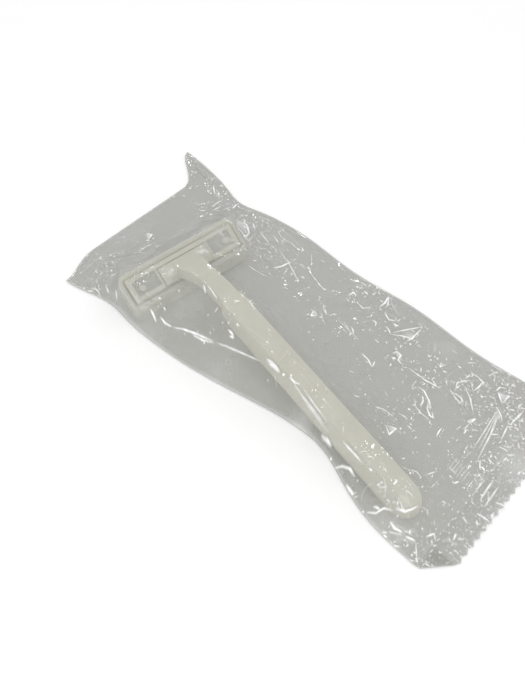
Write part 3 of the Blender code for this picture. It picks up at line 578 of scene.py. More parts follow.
def facets(xy, size, stretch, turn, seed):
    """Crumpled film, from -1 to 1: flat facets between sharp ridges, their corners lifted by chance."""
    chance = np.random.default_rng(seed)
    turn = math.radians(turn)
    u = (xy[..., 0] * math.cos(turn) + xy[..., 1] * math.sin(turn)) / (size * stretch)
    v = (xy[..., 1] * math.cos(turn) - xy[..., 0] * math.sin(turn)) / size
    shifts = chance.uniform(0, 2 * math.pi, 8)
    bent_u, bent_v = u.copy(), v.copy()
    for k, rate in enumerate((0.9, 1.7)):
        bend = FACETS_BEND / (k + 1)
        bent_u += bend * np.sin(rate * v + shifts[k]) * np.cos(0.7 * rate * u + shifts[k + 2])
        bent_v += bend * np.sin(rate * u + shifts[k + 4]) * np.cos(0.8 * rate * v + shifts[k + 6])
    lifts = chance.uniform(-1, 1, (FACETS_REPEAT, FACETS_REPEAT))
    column, row = np.floor(bent_u).astype(int), np.floor(bent_v).astype(int)
    f, g = bent_u - column, bent_v - row

    def corner(i, j):
        return lifts[(row + j) % FACETS_REPEAT, (column + i) % FACETS_REPEAT]

    lower = corner(0, 0) * (1 - f) + corner(1, 0) * (f - g) + corner(1, 1) * g
    upper = corner(0, 0) * (1 - g) + corner(0, 1) * (g - f) + corner(1, 1) * f
    return np.where(f > g, lower, upper)


def away_from(at, a, b):
    """How far points are from a straight stretch, and how far along it each is, as a share."""
    along = np.clip((at - a) @ (b - a) / ((b - a) @ (b - a)), 0, 1)
    return np.linalg.norm(at - a - along[..., None] * (b - a), axis=-1), along


# The white line on a crease is partly the film's whitening and partly a painted glint.
WHITE_GLINT_WIDTH = 0.13  # half width of the white line on a middling crease, in millimetres


def fold(z, whitening_and_painted_light, xy, path, width, height, glint_whiteness):
    """Raises a sharp ridge along a path, with a white line on it that wavers: partly the film's whitening,
    partly a painted glint. Both die away at its ends.
    """
    path = np.array(path)
    x, y = xy[..., 0], xy[..., 1]
    low, high = path.min(axis=0) - width, path.max(axis=0) + width
    near = (x > low[0]) & (x < high[0]) & (y > low[1]) & (y < high[1])
    at = xy[near]
    if not len(at):
        return
    lengths = np.linalg.norm(np.diff(path, axis=0), axis=1)
    away = np.full(len(at), np.inf)
    share = np.zeros(len(at))
    done = 0.0
    for a, b, length in zip(path, path[1:], lengths):
        d, along = away_from(at, a, b)
        share = np.where(d < away, (done + along * length) / lengths.sum(), share)
        away = np.minimum(away, d)
        done += length
    taper = np.sqrt(np.clip(4 * share * (1 - share), 0, 1))
    z[near] += height * np.clip(1 - away / width, 0, None) * taper
    waver = 0.9 + 0.1 * np.sin(share * lengths.sum() * 1.9 + path[0, 0])
    reach = WHITE_GLINT_WIDTH * (0.4 + glint_whiteness) * (0.5 + 0.5 * taper)
    line = np.clip(2.0 - away / reach, 0, 1) * taper * waver * min(1.3 * glint_whiteness, 1)
    whitening_and_painted_light[near] = np.maximum(whitening_and_painted_light[near], line)


def edge_distance(xy):
    """Distance to the outline, in millimetres."""
    nearest = np.full(xy.shape[:2], np.inf)
    for run in outline_runs(cell=2.0):
        for a, b in zip(run, run[1:]):
            nearest = np.minimum(nearest, away_from(xy, a, b)[0])
    return nearest


def film_sheet(name, xy, z, haze_and_painted_light, finish):
    """A sheet of film as one smooth surface, with its haze and painted light on the mesh."""
    rows, columns = z.shape
    points = np.dstack((xy, z)).reshape(-1, 3) * MM
    index = np.arange(rows * columns).reshape(rows, columns)
    faces = np.stack((index[:-1, :-1], index[:-1, 1:], index[1:, 1:], index[1:, :-1]), axis=-1)
    mesh = bpy.data.meshes.new(name)
    mesh.from_pydata(points.tolist(), [], faces.reshape(-1, 4).tolist())
    mesh.attributes.new("haze_and_painted_light", "FLOAT", "POINT").data.foreach_set("value", haze_and_painted_light.ravel())
    mesh.shade_smooth()
    made = new_object(name, mesh, finish)
    return made


FOLD_WIDTHS = (0.45, 0.9)  # half widths of the scattered creases, in millimetres
LONGEST_FOLD = 10.0
FOLD_POINTS = 6


def chance_folds(z, whitening_and_painted_light, xy, weight, count, run_share, seed, height, glint_whiteness, usual_length):
    """Scatters short sharp creases as thickly as weight says, run_share of them roughly lengthwise."""
    chance = np.random.default_rng(seed)
    share = np.cumsum(weight.ravel())
    picks = np.searchsorted(share, chance.uniform(0, share[-1], count))
    for pick in picks:
        middle = xy.reshape(-1, 2)[pick]
        angle = math.pi / 2 + chance.normal(0, 0.6) + (math.pi / 2 if chance.uniform() > run_share else 0)
        length = min(usual_length * math.exp(chance.normal(0.1, 0.6)), LONGEST_FOLD)
        bend = chance.normal(0, 0.1) * length
        way = np.array([math.cos(angle), math.sin(angle)])
        side = np.array([-way[1], way[0]])
        spots = np.linspace(-1, 1, FOLD_POINTS)
        path = [middle + way * length / 2 * k + side * bend * (1 - k * k) for k in spots]
        up = chance.choice((-1, 1)) * height * chance.uniform(0.4, 1)
        width = chance.uniform(*FOLD_WIDTHS)
        fold(z, whitening_and_painted_light, xy, path, width, up, glint_whiteness * chance.uniform() ** 1.4)


# Lower film
# The half of the film that lies flat under the razor, with the shallow crumples of a sheet that was once
# handled. It is welded to the upper half along its sides and its far edge.
LOWER_CELL = 0.45  # of the film's grid, in millimetres
LOWER_FILM = 0.08  # its lowest height
LOWER_RISE = 0.26  # how much higher its highest crumples reach
LOWER_BROAD = 0.35  # its broad and its finer crumples, as shares of that rise
LOWER_FINER = 0.15
RISES_OVER = 2.5  # how far from the outline it has risen
LOWER_FOLDS = dict(count=90, run_share=0.7, seed=6, height=0.5, glint_whiteness=0.2, usual_length=1.6)
WELD_HAZE_FADES = 1.5  # over this length it dies away towards the end seal


def weld_haze(xy, to_edge, strength, reach):
    """The milky edge that the welds leave on a film. It ends where the end seal begins."""
    from_seal = np.clip((xy[..., 1] - near_run[:, 1].max()) / WELD_HAZE_FADES, 0, 1)
    return strength * np.exp(-((to_edge / reach) ** 2)) * from_seal


near_run, right_run, far_run, left_run = outline_runs(LOWER_CELL)
lower_xy = film_grid(LOWER_CELL)
to_edge = edge_distance(lower_xy)
lower_z = 0.5 + LOWER_BROAD * facets(lower_xy, size=6.0, stretch=1.8, turn=75, seed=4)
lower_z += LOWER_FINER * facets(lower_xy, size=2.8, stretch=1.5, turn=20, seed=5)
whitening_and_painted_light = np.zeros(to_edge.shape)
anywhere = np.ones(to_edge.shape)
chance_folds(lower_z, whitening_and_painted_light, lower_xy, anywhere, **LOWER_FOLDS)
lower_z = LOWER_FILM + LOWER_RISE * np.clip(to_edge / RISES_OVER, 0, 1) * np.clip(lower_z, 0, 1)
whitening_and_painted_light = np.maximum(whitening_and_painted_light, weld_haze(lower_xy, to_edge, strength=0.3, reach=0.5))
lower = film_sheet("lower_film", lower_xy, lower_z, whitening_and_painted_light, film)
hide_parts("sachet_back")
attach(lower, "sachet")

# Upper film
# The half that hangs from the razor's high points, with the main folds of its solid. It is drawn closer
# to the razor here, and gets the fine creases with their white lines, partly painted glints, and milky
# patches, partly where film was handled and partly painted light.
UPPER_CELL = 0.2  # of the film's grid, in millimetres, as all that follows
FILMS_APART = 0.14
FILM_LIES = 0.14  # gap from the upper film to what it lies on
CLOSER = 0.3  # how much closer to the razor it lies than its solid
EASING = 90  # rounds in which it is pulled straight between the places that hold it up
WALL_EASING = 2  # cells by which it clears an upright wall, and runs smoothly down it
TOUCH_FADES = 1.2  # height over the razor at which the film no longer clings to it
HOLD_IT_UP = ["handle", "blade_cover", "head_base"]
EARS = (outline[ear_left], outline[ear_right])
CORNER_WAYS = ((-4, -1), (-1, 4), (4, 1), (1, -4))  # roughly, from the cover's middle to its corners
cover_points = np.array([v.co.xy for v in nodes["blade_cover"].data.vertices]) / MM
cover_corners = [cover_points[np.argmax(cover_points @ way)] for way in CORNER_WAYS]


def search_tree(names):
    """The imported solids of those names, for looking down on."""
    verts, faces = [], []
    for name in names:
        mesh = nodes[name].data
        start = len(verts)
        verts += [v.co.copy() for v in mesh.vertices]
        faces += [[start + i for i in face.vertices] for face in mesh.polygons]
    return BVHTree.FromPolygons(verts, faces)


def heights_of(names, xy, missing):
    """The height of the topmost of those solids under each point, in millimetres."""
    tree = search_tree(names)
    down = Vector((0, 0, -1))
    found = np.full(xy.shape[:2], missing)
    for i, j in np.ndindex(found.shape):
        hit = tree.ray_cast(Vector((xy[i, j, 0] * MM, xy[i, j, 1] * MM, 1.0)), down)[0]
        if hit is not None:
            found[i, j] = hit.z / MM
    return found


def neighbour_mean(z):
    """The mean of the four neighbours of each inner point of a grid."""
    return (z[:-2, 1:-1] + z[2:, 1:-1] + z[1:-1, :-2] + z[1:-1, 2:]) / 4


def windows(z, reach):
    """Copies of a grid, shifted by up to reach cells each way."""
    rows, columns = z.shape
    wide = np.pad(z, reach, mode="edge")
    steps = range(2 * reach + 1)
    return [wide[i : i + rows, j : j + columns] for i in steps for j in steps]


def soften(z):
    """Rounds the ridges a little: film can't crease to a point."""
    z = z.copy()
    z[1:-1, 1:-1] = (z[1:-1, 1:-1] + neighbour_mean(z)) / 2
    return z


def closeness(xy, places, reach):
    """1 at the places, falling off to 0 round them."""
    return sum(np.exp(-((np.hypot(xy[..., 0] - x, xy[..., 1] - y) / reach) ** 2)) for x, y in places)


film_xy = film_grid(UPPER_CELL)
to_edge = edge_distance(film_xy)
razor_top = np.full(film_xy.shape[:2], -1.0)
for dx, dy in ((0, 0), (1, 0), (-1, 0), (0, 1), (0, -1)):
    step = np.array([dx, dy]) * UPPER_CELL / 2
    seen = heights_of(HOLD_IT_UP, film_xy + step, -1.0)
    razor_top = np.maximum(razor_top, seen)
razor_top = np.mean(windows(np.max(windows(razor_top, WALL_EASING), axis=0), WALL_EASING), axis=0)
lower_top = LOWER_FILM + LOWER_RISE * np.clip(to_edge / RISES_OVER, 0, 1)
support = np.maximum(razor_top + FILM_LIES, lower_top + FILMS_APART)
drape = np.maximum(heights_of(["sachet_front"], film_xy, 0.0) - CLOSER, support)
for edge in ((0, slice(None)), (-1, slice(None)), (slice(None), 0), (slice(None), -1)):
    drape[edge] = support[edge]
for _ in range(EASING):
    drape[1:-1, 1:-1] = np.maximum(neighbour_mean(drape), support[1:-1, 1:-1])

NEAR_END = -47.0  # where the film of the near end begins to be crowded with creases, along y
RIGHT_SIDE = 2.0  # and that of the right side, along x
SIDE_BLEND = 4.0  # how softly both begin
LEFT_BAND = (-31.0, -5.0)  # the middle of the smooth band beside the handle
LEFT_BAND_REACH = (6.0, 24.0)
EAR_REACH = 16.0  # how far round an ear, and round a corner of the cover, creases crowd
COVER_REACH = 11.0
EDGE_REACH = 2.0  # nearer to the outline than this, creases are lower
SHARE_AT_EDGE = 0.2  # the share of their height that is left there

on_razor = np.clip(1.0 - (drape - razor_top - FILM_LIES) / TOUCH_FADES, 0.0, 1.0)
at_edge = np.clip(to_edge / EDGE_REACH, SHARE_AT_EDGE, 1.0)
near_ear = closeness(film_xy, EARS, EAR_REACH)
near_cover = closeness(film_xy, cover_corners, COVER_REACH)
near_end = 1 / (1 + np.exp((film_xy[..., 1] - NEAR_END) / SIDE_BLEND))
right_side = 1 / (1 + np.exp(-(film_xy[..., 0] - RIGHT_SIDE) / SIDE_BLEND))
left_band = np.exp(-(((film_xy - LEFT_BAND) / LEFT_BAND_REACH) ** 2).sum(axis=-1))
sachet_tree = search_tree(["sachet_front", "sachet_end_seal"])


def on_film(px, py):
    """The place on the sachet that a pixel of the photograph shows, in millimetres."""
    focal = FOCAL_LENGTH / SENSOR * PHOTO_HEIGHT
    eye = camera.location
    ray = Vector((px - PHOTO_WIDTH / 2, PHOTO_HEIGHT / 2 - py, -focal)).normalized()
    ray = camera.rotation_euler.to_matrix() @ ray
    hit = sachet_tree.ray_cast(eye, ray)[0]
    if hit is None:  # a pixel over the gap in front of the end seal
        hit = eye - ray * (eye.z / ray.z)
    return hit.x / MM, hit.y / MM


# Creases that stand out in the photograph, their white lines partly painted glints: how strong each is, and
# the pixels that it runs through
CREASES = (
    (0.9, (150, 308), (154, 316), (156, 322)),
    (0.9, (160, 316), (165, 323), (172, 327)),
    (1.0, (172, 327), (183, 329), (194, 333), (205, 338), (214, 342)),
    (0.7, (192, 335), (203, 341), (214, 343)),
    (0.6, (214, 342), (228, 347), (244, 354), (262, 361)),
    (1.0, (137, 252), (145, 248), (153, 243)),
    (0.8, (146, 233), (152, 235), (147, 240)),
    (0.9, (211, 207), (217, 203), (223, 200)),
    (0.8, (213, 210), (220, 206)),
    (1.0, (232, 208), (239, 203)),
    (0.9, (231, 217), (244, 219), (249, 233), (246, 236), (236, 224)),
    (0.9, (253, 222), (255, 230)),
    (0.7, (260, 232), (265, 239), (271, 245)),
    (0.6, (278, 249), (288, 262), (294, 273), (299, 284)),
    (0.9, (272, 269), (281, 267), (292, 262)),
    (0.7, (233, 300), (241, 301)),
    (0.6, (207, 284), (218, 300)),
    (0.8, (213, 184), (215, 195)),
    (0.7, (218, 190), (219, 198)),
    (0.6, (105, 283), (109, 293)),
    (0.8, (228, 329), (232, 333), (234, 338)),
    (0.7, (229, 335), (234, 338)),
    (1.0, (266, 358), (272, 362), (280, 371)),
    (0.9, (268, 361), (275, 368), (280, 372)),
    (1.0, (282, 373), (285, 375)),
    (0.8, (289, 376), (295, 382), (301, 384)),
    (0.5, (288, 375), (303, 396), (317, 416), (329, 433)),
    (0.5, (302, 386), (315, 405), (328, 424)),
    (0.45, (305, 400), (315, 415), (325, 430)),
    (0.8, (321, 435), (328, 442), (332, 447)),
    (0.5, (338, 319), (349, 330), (359, 340)),
    (0.9, (361, 353), (368, 360), (372, 368)),
    (0.7, (375, 361), (372, 368)),
    (0.9, (348, 297), (353, 293), (357, 297)),
    (0.6, (356, 302), (363, 309), (372, 307)),
    (1.0, (389, 296), (385, 303), (378, 309)),
    (0.7, (389, 296), (388, 305), (384, 309)),
    (0.7, (384, 312), (389, 320), (397, 321)),
    (0.8, (372, 320), (376, 323), (375, 327)),
    (0.8, (390, 334), (402, 336), (412, 339), (423, 327)),
    (0.8, (392, 333), (405, 331), (423, 327)),
    (0.9, (392, 354), (397, 351), (401, 355), (398, 360), (403, 366)),
    (0.8, (391, 357), (396, 359)),
    (0.7, (408, 368), (417, 375), (425, 379)),
    (0.9, (421, 379), (430, 383), (438, 388)),
    (0.7, (432, 380), (437, 387)),
    (0.7, (441, 362), (443, 366), (440, 367), (441, 362)),
    (0.9, (417, 386), (424, 391), (429, 401), (431, 410)),
    (0.9, (428, 403), (427, 409), (430, 416), (433, 418), (432, 411)),
    (0.8, (422, 395), (423, 401), (420, 407)),
    (0.6, (415, 398), (415, 406), (421, 413), (432, 422)),
    (0.6, (455, 392), (457, 383), (472, 380)),
    (0.7, (454, 393), (461, 398), (464, 403)),
    (0.8, (477, 376), (483, 382), (478, 388), (472, 392)),
    (0.6, (488, 376), (498, 371)),
    (0.7, (465, 388), (470, 398), (473, 412)),
    (0.9, (498, 391), (500, 399), (502, 404)),
    (0.9, (502, 404), (509, 396), (503, 395)),
    (0.7, (495, 392), (500, 387), (507, 388)),
    (0.6, (500, 406), (487, 427), (473, 449)),
    (0.5, (499, 409), (488, 432), (478, 450)),
    (0.6, (499, 410), (491, 433), (476, 463)),
    (0.5, (500, 410), (494, 428), (486, 446)),
    (0.9, (467, 421), (475, 419), (470, 424)),
    (0.6, (469, 425), (464, 429)),
    (0.9, (385, 425), (396, 429), (389, 435), (385, 425)),
    (0.7, (374, 406), (383, 409), (392, 415)),
    (0.9, (314, 310), (311, 316), (318, 315)),
    (0.7, (410, 469), (416, 472), (422, 478)),
    (0.6, (426, 475), (437, 471)),
    (0.8, (480, 500), (487, 489), (494, 480)),
    (0.7, (484, 507), (492, 496), (499, 486)),
    (0.8, (523, 412), (516, 419), (510, 425)),
    (0.7, (508, 425), (501, 440)),
    (0.7, (507, 457), (503, 461)),
    (0.7, (366, 512), (376, 513), (384, 508), (393, 511)),
    (0.8, (395, 508), (405, 512), (412, 509), (419, 505)),
    (0.8, (334, 468), (342, 466), (350, 469), (355, 478)),
    (0.7, (342, 439), (352, 451), (363, 464)),
    (0.8, (346, 484), (353, 494), (357, 492)),
    (0.9, (390, 521), (394, 528), (403, 533)),
    (0.9, (405, 536), (416, 541)),
    (0.6, (416, 541), (417, 562)),
    (0.8, (426, 537), (434, 534), (436, 541)),
    (0.8, (456, 533), (453, 541)),
    (0.9, (476, 513), (484, 518), (490, 523)),
    (0.9, (393, 485), (398, 480)),
)

CREASE_WIDTH = 0.85  # of the strongest
CREASE_HEIGHT = 0.36

# Small three-cornered facets painted white as glints: how bright each is, and its corners in pixels
PAINTED_GLINT_FACETS = (
    (1.0, (244, 221), (236, 223), (248, 234)),
    (0.9, (152, 242), (145, 249), (136, 253)),
    (0.9, (152, 235), (146, 232), (147, 240)),
    (1.0, (200, 335), (206, 341), (214, 343)),
    (0.9, (194, 332), (201, 339), (209, 340)),
    (1.0, (499, 392), (509, 396), (502, 404)),
    (1.0, (467, 421), (475, 419), (470, 424)),
    (0.8, (396, 429), (385, 425), (389, 435)),
    (0.8, (412, 339), (400, 334), (416, 331)),
    (0.9, (396, 353), (402, 356), (401, 363)),
    (0.8, (389, 296), (380, 307), (388, 305)),
    (0.9, (315, 310), (311, 316), (318, 315)),
    (0.8, (427, 400), (431, 408), (429, 413)),
    (0.8, (438, 388), (431, 384), (434, 381)),
)
FACET_EDGE = 0.2  # how softly a lit facet ends, in millimetres
FACET_GLINT_WHITENESS = 0.75
FACET_FADES = 0.8  # the share of it that is lost across the facet


def paint_glint_facet(whitening_and_painted_light, xy, corners, strength):
    """Whitens a small three-cornered facet between creases as a painted glint, most at its first corner."""
    corners = np.array(corners)
    middle = corners.mean(axis=0)
    inset = np.full(xy.shape[:2], np.inf)
    for a, b in zip(corners, np.roll(corners, -1, axis=0)):
        inwards = np.array([a[1] - b[1], b[0] - a[0]]) / np.linalg.norm(b - a)
        inwards *= np.sign(inwards @ (middle - a))
        inset = np.minimum(inset, (xy - a) @ inwards)
    away = np.linalg.norm(xy - corners[0], axis=-1) / np.linalg.norm(corners - corners[0], axis=1).max()
    lit = FACET_GLINT_WHITENESS * strength * (1 - FACET_FADES * np.clip(away, 0, 1))
    lit = lit * np.clip(0.5 + inset / FACET_EDGE, 0, 1)
    np.maximum(whitening_and_painted_light, lit, out=whitening_and_painted_light)


# Places where the film lies smooth: pixel and reach in mm
CALM_PLACES = (
    ((160, 221), 7.0),
    ((183, 208), 5.0),
    ((114, 230), 5.0),
    ((285, 292), 8.0),
    ((335, 345), 6.0),
    ((368, 345), 5.0),
    ((447, 337), 6.0),
    ((355, 403), 6.0),
    ((436, 437), 8.0),
    ((405, 450), 6.0),
    ((447, 408), 5.0),
    ((490, 437), 4.0),
    ((161, 340), 7.0),
    ((194, 305), 5.0),
    ((217, 362), 6.0),
    ((130, 287), 7.0),
    ((215, 243), 6.0),
)
calm = sum(closeness(film_xy, [on_film(*pixel)], reach) for pixel, reach in CALM_PLACES)
calm = np.clip(calm, 0, 1)


def pleats(xy, tip, reach, count, seed):
    """Folds that fan out from a point, from -1 to 1, strongest half way to their reach."""
    chance = np.random.default_rng(seed)
    away = xy - np.array(tip)
    angle = np.arctan2(away[..., 1], away[..., 0]) + math.pi
    radius = np.hypot(away[..., 0], away[..., 1]) / reach
    at = np.sort(chance.uniform(0, 2 * math.pi, count))
    lifts = chance.uniform(0.4, 1, count) * np.where(np.arange(count) % 2, 1, -1)
    wander = 0.06 * np.sin(9 * radius + chance.uniform(0, 6))
    return np.interp(angle + wander, at, lifts, period=2 * math.pi) * 4 * radius * np.clip(1 - radius, 0, 1)


# Broad crumples, and pleats that fan out from the ears and from the corners of the cover
BROAD_CRUMPLE = 0.34  # heights of the broad crumples, the finer ones and the pleats
FINER_CRUMPLE = 0.13
FINER_AT_NEAR_END = 0.08  # what the finer ones gain there
EAR_PLEAT = 0.6
COVER_PLEAT = 0.4
CALM_FLATTENS = 0.75  # the share that all of them lose in the smooth places
crumple = BROAD_CRUMPLE * facets(film_xy, size=8.0, stretch=2.0, turn=80, seed=1)
finer_crumple = FINER_CRUMPLE + FINER_AT_NEAR_END * near_end
crumple += finer_crumple * facets(film_xy, size=3.8, stretch=1.9, turn=100, seed=2)
for number, ear in enumerate(EARS):
    crumple += EAR_PLEAT * pleats(film_xy, ear, reach=30.0, count=34, seed=20 + number)
for number, corner in enumerate(cover_corners):
    crumple += COVER_PLEAT * pleats(film_xy, corner, reach=17.0, count=24, seed=30 + number)
crumple *= 1 - CALM_FLATTENS * calm

# Small creases lie in clumps: thickest at the ears, the near end and the creases that stand out, and
# thinly where the film is smooth, runs down steeply or clings to the razor
SCATTERED_FOLDS = (
    dict(count=340, run_share=0.72, seed=7, height=0.24, glint_whiteness=0.8, usual_length=1.6),
    dict(count=2000, run_share=0.5, seed=9, height=0.14, glint_whiteness=0.75, usual_length=0.55),
)
SPARSE = 0.15  # how thickly they lie everywhere, and what these places add to that
MORE_AT_EARS = 4.6
MORE_AT_NEAR_END = 2.2
MORE_ON_RIGHT_SIDE = 0.4
MORE_AT_COVER = 0.9
GATHER_REACH = 2.4  # how near the small ones gather to those that stand out
STEEP_SLOPE = 0.4
FEWER_WHERE_STEEP = 0.85  # the shares of them that these places lose
FEWER_ON_RAZOR = 0.9
FEWER_IN_LEFT_BAND = 0.75
FEWER_WHERE_CALM = 0.95
crease_paths = [(strength, [on_film(*pixel) for pixel in pixels]) for strength, *pixels in CREASES]
crease_spots = [spot for _, path in crease_paths for spot in path]
weight = SPARSE + MORE_AT_EARS * near_ear + MORE_AT_NEAR_END * near_end
weight += MORE_ON_RIGHT_SIDE * right_side
weight += MORE_AT_COVER * near_cover
clumps = np.clip(0.1 + 1.6 * facets(film_xy, size=7.0, stretch=1.3, turn=70, seed=8), 0.02, 1)
weight *= np.maximum(clumps, 0.5 * near_end)
weight += np.clip(closeness(film_xy, crease_spots, GATHER_REACH), 0, 1)
steep = np.clip(np.hypot(*np.gradient(drape, UPPER_CELL)) - STEEP_SLOPE, 0, 1)
weight *= 1 - FEWER_WHERE_STEEP * steep
keep = (1 - FEWER_ON_RAZOR * on_razor) * (1 - FEWER_IN_LEFT_BAND * left_band)
keep *= 1 - FEWER_WHERE_CALM * calm
weight *= keep
whitening_and_painted_light = np.zeros(to_edge.shape)
for kind in SCATTERED_FOLDS:
    chance_folds(crumple, whitening_and_painted_light, film_xy, weight, **kind)
for strength, path in crease_paths:
    fold(crumple, whitening_and_painted_light, film_xy, path, CREASE_WIDTH * strength, CREASE_HEIGHT * strength, strength)
for strength, *pixels in PAINTED_GLINT_FACETS:
    paint_glint_facet(whitening_and_painted_light, film_xy, [on_film(*pixel) for pixel in pixels], strength)

# Fine parallel hatches, where the film was rolled, their white lines partly painted glints: the ends of the
# first line and the step to the next, in pixels of the photograph, and how many lines
HATCHES = (
    ((448, 470), (458, 457), (2.6, 2.6), 6),
    ((472, 497), (483, 481), (3.0, 1.8), 5),
)
HATCH_WIDTH = 0.5
HATCH_HEIGHT = 0.14
HATCH_GLINT_WHITENESS = 0.38
for start, end, step, count in HATCHES:
    for k in range(count):
        path = [on_film(column + k * step[0], row + k * step[1]) for column, row in (start, end)]
        fold(crumple, whitening_and_painted_light, film_xy, path, HATCH_WIDTH, HATCH_HEIGHT, HATCH_GLINT_WHITENESS)

# The creases take what room they have over the drape: little where the film clings to the razor, apart
# from the neck, where it is crumpled too
NECK = (195, 272)  # pixel of the photograph
NECK_REACH = 6.0
LOWER_ON_RAZOR = 0.6  # the share of their height that they lose where the film clings
BACK_AT_NECK = 0.5  # and the share that they get back at the neck
STANDS_OFF = 0.2  # how far over the drape the film lies midway between valley and ridge
SINKS = 0.05  # how far a valley may sink into the gap under the film
room = 1 - LOWER_ON_RAZOR * on_razor
room += BACK_AT_NECK * on_razor * closeness(film_xy, [on_film(*NECK)], NECK_REACH)
upper_z = soften(np.maximum(drape + (crumple + STANDS_OFF) * room * at_edge, support))
upper_z[1:-1, 1:-1] = np.maximum(upper_z, support - SINKS)[1:-1, 1:-1]
sharp = np.zeros(upper_z.shape)
sharp[1:-1, 1:-1] = np.abs(upper_z[1:-1, 1:-1] - neighbour_mean(upper_z))

# The sharper a ridge is, the milkier it turns, and so does the crowded near end as a whole
RIDGE_HAZE = 5.0
RIDGE_HAZE_STARTS = 0.12
MOST_RIDGE_HAZE = 0.22
NEAR_END_HAZE = 0.04

# Soft milky patches: some where the film has rubbed or been strained, others painted light, which lifts
# the shade beside the handle and on the cover's near wall and stands for sheen on the head's facets and
# a pale reflection near the right corner: pixel, reach in mm and strength
HAZE_AND_LIGHT_PATCHES = (
    ((122, 240), 5.0, 0.14),
    ((142, 228), 5.0, 0.12),
    ((197, 300), 4.5, 0.12),
    ((145, 338), 6.0, 0.16),
    ((215, 382), 6.0, 0.14),
    ((300, 427), 3.5, 0.26),
    ((384, 528), 5.0, 0.18),
    ((178, 302), 4.0, 0.12),
    ((519, 466), 5.0, 0.30),
    ((130, 285), 9.0, 0.07),
    ((215, 240), 9.0, 0.07),
    ((518, 432), 4.0, 0.12),
    ((445, 350), 4.5, 0.16),
    ((225, 235), 8.0, 0.10),
    ((160, 275), 8.0, 0.08),
    ((170, 272), 1.4, 0.28),
    ((202, 252), 1.7, 0.28),
)


def add_haze_and_light_patches(haze_and_painted_light, xy):
    """Adds the milky patches, partly painted light, to the haze of a sheet."""
    for pixel, reach, strength in HAZE_AND_LIGHT_PATCHES:
        haze_and_painted_light += strength * closeness(xy, [on_film(*pixel)], reach)


ridge_haze = np.clip(sharp * RIDGE_HAZE - RIDGE_HAZE_STARTS, 0, MOST_RIDGE_HAZE)
upper_haze_and_light = whitening_and_painted_light + ridge_haze + NEAR_END_HAZE * near_end
upper_haze_and_light += weld_haze(film_xy, to_edge, strength=0.35, reach=0.45)
add_haze_and_light_patches(upper_haze_and_light, film_xy)
upper = film_sheet("upper_film", film_xy, upper_z, np.clip(upper_haze_and_light, 0, 1), film)
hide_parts("sachet_front")
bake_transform(upper)

# Side welds
# Where the two films are melted together along the sides and the far edge, they draw up into a thin
# milky bead.
WELD_RADIUS = 0.14
WELD_UNEVEN = 0.1  # how much the radius varies, as a share of it
WELD_SIDES = 6
WELD_HAZE = 0.3
welded = film_material("weld_bead", CLEAR_ALPHA=0.55, MILKY_ALPHA=0.9)


def bead(name, run):
    """A thin, slightly uneven tube along a run of the outline, level with the films."""
    ahead = np.gradient(run, axis=0)
    ahead /= np.linalg.norm(ahead, axis=1)[:, None]
    side = np.c_[ahead[:, 1], -ahead[:, 0]]
    along = np.arange(len(run))
    radius = WELD_RADIUS * (1 + WELD_UNEVEN * np.sin(along * 0.9) * np.sin(along * 0.37))
    rings = []
    for k in range(WELD_SIDES):
        a = 2 * math.pi * k / WELD_SIDES
        out = run + side * (radius * math.cos(a))[:, None]
        rings.append(np.c_[out, LOWER_FILM + WELD_RADIUS + radius * math.sin(a)])
    points = np.stack(rings, axis=1).reshape(-1, 3) * MM
    faces = []
    for start in range(0, len(points) - WELD_SIDES, WELD_SIDES):
        for k in range(WELD_SIDES):
            a, b = start + k, start + (k + 1) % WELD_SIDES
            faces.append((a, b, b + WELD_SIDES, a + WELD_SIDES))
    faces.append(range(WELD_SIDES)[::-1])
    faces.append(range(len(points))[-WELD_SIDES:])
    mesh = bpy.data.meshes.new(name)
    mesh.from_pydata(points.tolist(), [], faces)
    mesh.shade_smooth()
    haze_and_painted_light = np.full(len(points), WELD_HAZE)
    mesh.attributes.new("haze_and_painted_light", "FLOAT", "POINT").data.foreach_set("value", haze_and_painted_light)
    made = new_object(name, mesh, welded)
    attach(made, "sachet")
    return made


beads = [bead("left_weld", left_run), bead("right_weld", right_run), bead("far_weld", far_run)]

# End seal
# Both films pressed together between hot jaws into one milky, crimped band, crowded with white crease
# lines that are partly painted glints. A serrated knife cuts its end, and its left corner is folded under.
SEAL_LIES = 0.14  # height of the band, between the heights of the two films that it joins
SEAL_ROWS = 36
SEAL_STEP = 0.22
SEAL_CLOSES = 0.32  # how far it runs past its solid, up to the films
SEAL_EDGE = 0.1  # what lies nearer than this to the solid's inner edge belongs to that edge
SEAL_RISES_OVER = 1.2  # how far from the films it has buckled fully
SEAL_BROAD = 0.25  # heights of its broad and its finer buckles
SEAL_FINER = 0.1
SEAL_STANDS_OFF = 0.1  # how far over its lowest it lies midway between them, and the most it rises
SEAL_HIGHEST = 0.5
# The seal's grey is, like the films', partly smoke and partly painted shade of the table under it.
SEAL_SMOKE_AND_SHADE = (0.35, 0.35, 0.317, 1)
CUT_HAZE = 0.25
CUT_HAZE_REACH = 0.35
CRIMP_PITCH = 0.9
CRIMP_DEPTH = 0.02
SEAL_FOLDS = (
    dict(count=90, run_share=0.6, seed=43, height=0.2, glint_whiteness=0.9, usual_length=0.9),
    dict(count=520, run_share=0.5, seed=44, height=0.14, glint_whiteness=0.65, usual_length=0.5),
)
seal_film = film_material("seal_film", CLEAR_COLOUR=SEAL_SMOKE_AND_SHADE, CLEAR_ALPHA=0.64)

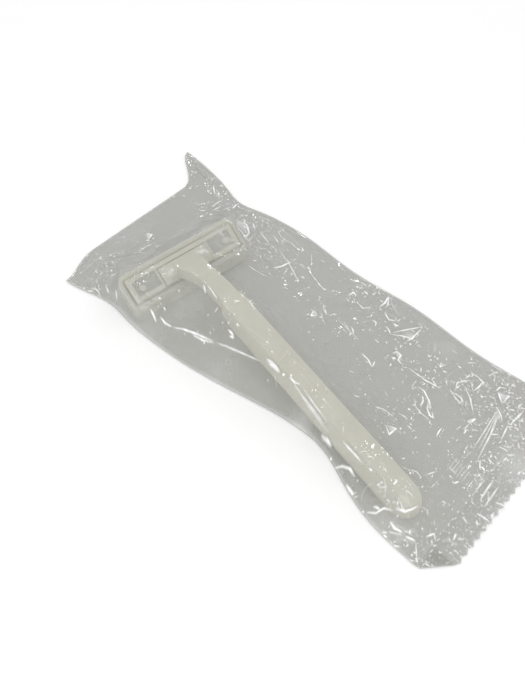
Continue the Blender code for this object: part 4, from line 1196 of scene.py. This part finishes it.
band = outline_of("sachet_end_seal")
inner_y = band[:, 1].max()
cut = band[band[:, 1] < inner_y - SEAL_EDGE]
cut = cut[np.argsort(cut[:, 0])]
across = np.union1d(np.arange(cut[0, 0], cut[-1, 0], SEAL_STEP), cut[:, 0])
low_y = np.interp(across, cut[:, 0], cut[:, 1])
share = np.linspace(0, 1, SEAL_ROWS)[:, None]
seal_y = low_y[None] * (1 - share) + (inner_y + SEAL_CLOSES) * share
seal_xy = np.dstack((np.broadcast_to(across, seal_y.shape), seal_y))
buckle = SEAL_BROAD * facets(seal_xy, size=4.0, stretch=1.6, turn=75, seed=41)
buckle += SEAL_FINER * facets(seal_xy, size=1.7, stretch=1.4, turn=20, seed=42)
whitening_and_painted_light = np.zeros(seal_y.shape)
anywhere = np.ones(seal_y.shape)
for kind in SEAL_FOLDS:
    chance_folds(buckle, whitening_and_painted_light, seal_xy, anywhere, **kind)
for strength, path in crease_paths:
    fold(buckle, whitening_and_painted_light, seal_xy, path, CREASE_WIDTH * strength, CREASE_HEIGHT * strength, strength)
buckle += CRIMP_DEPTH * np.sin(2 * math.pi * (seal_y - inner_y) / CRIMP_PITCH)
into = np.clip((inner_y - seal_y) / SEAL_RISES_OVER, 0, 1)
seal_z = SEAL_LIES + np.clip(buckle + SEAL_STANDS_OFF, 0, SEAL_HIGHEST) * into
whitening_and_painted_light = np.maximum(whitening_and_painted_light, CUT_HAZE * np.exp(-(((seal_y - low_y) / CUT_HAZE_REACH) ** 2)))
add_haze_and_light_patches(whitening_and_painted_light, seal_xy)
seal = film_sheet("end_seal", seal_xy, seal_z, np.clip(whitening_and_painted_light, 0, 1), seal_film)
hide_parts("sachet_end_seal")
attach(seal, "sachet")

# Folded corner
# The end of the same band, turned in under it along a slanting crease when the sachet was closed. It
# lies on the surface.
FLAP_LIES = 0.05
FLAP_HAZE = 0.2
FLAP_ROWS = 14
FLAP_STARTS = 0.03  # from the crease's own corner, as a share of the crease
(corner_x, corner_y), (fold_end_x, fold_end_y) = cut[:2]
along = np.linspace(FLAP_STARTS, 1, FLAP_ROWS)[None, :]
turned_in = np.linspace(0, 1, FLAP_ROWS)[:, None]
fold_x = corner_x + (fold_end_x - corner_x) * along
fold_y = corner_y + (fold_end_y - corner_y) * along
flap_y = fold_y * (1 - turned_in) + corner_y * turned_in
flap_xy = np.dstack((np.broadcast_to(fold_x, flap_y.shape), flap_y))
flap_z = np.full(flap_y.shape, FLAP_LIES)
flap = film_sheet("folded_corner", flap_xy, flap_z, np.full(flap_y.shape, FLAP_HAZE), seal_film)
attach(flap, "sachet")
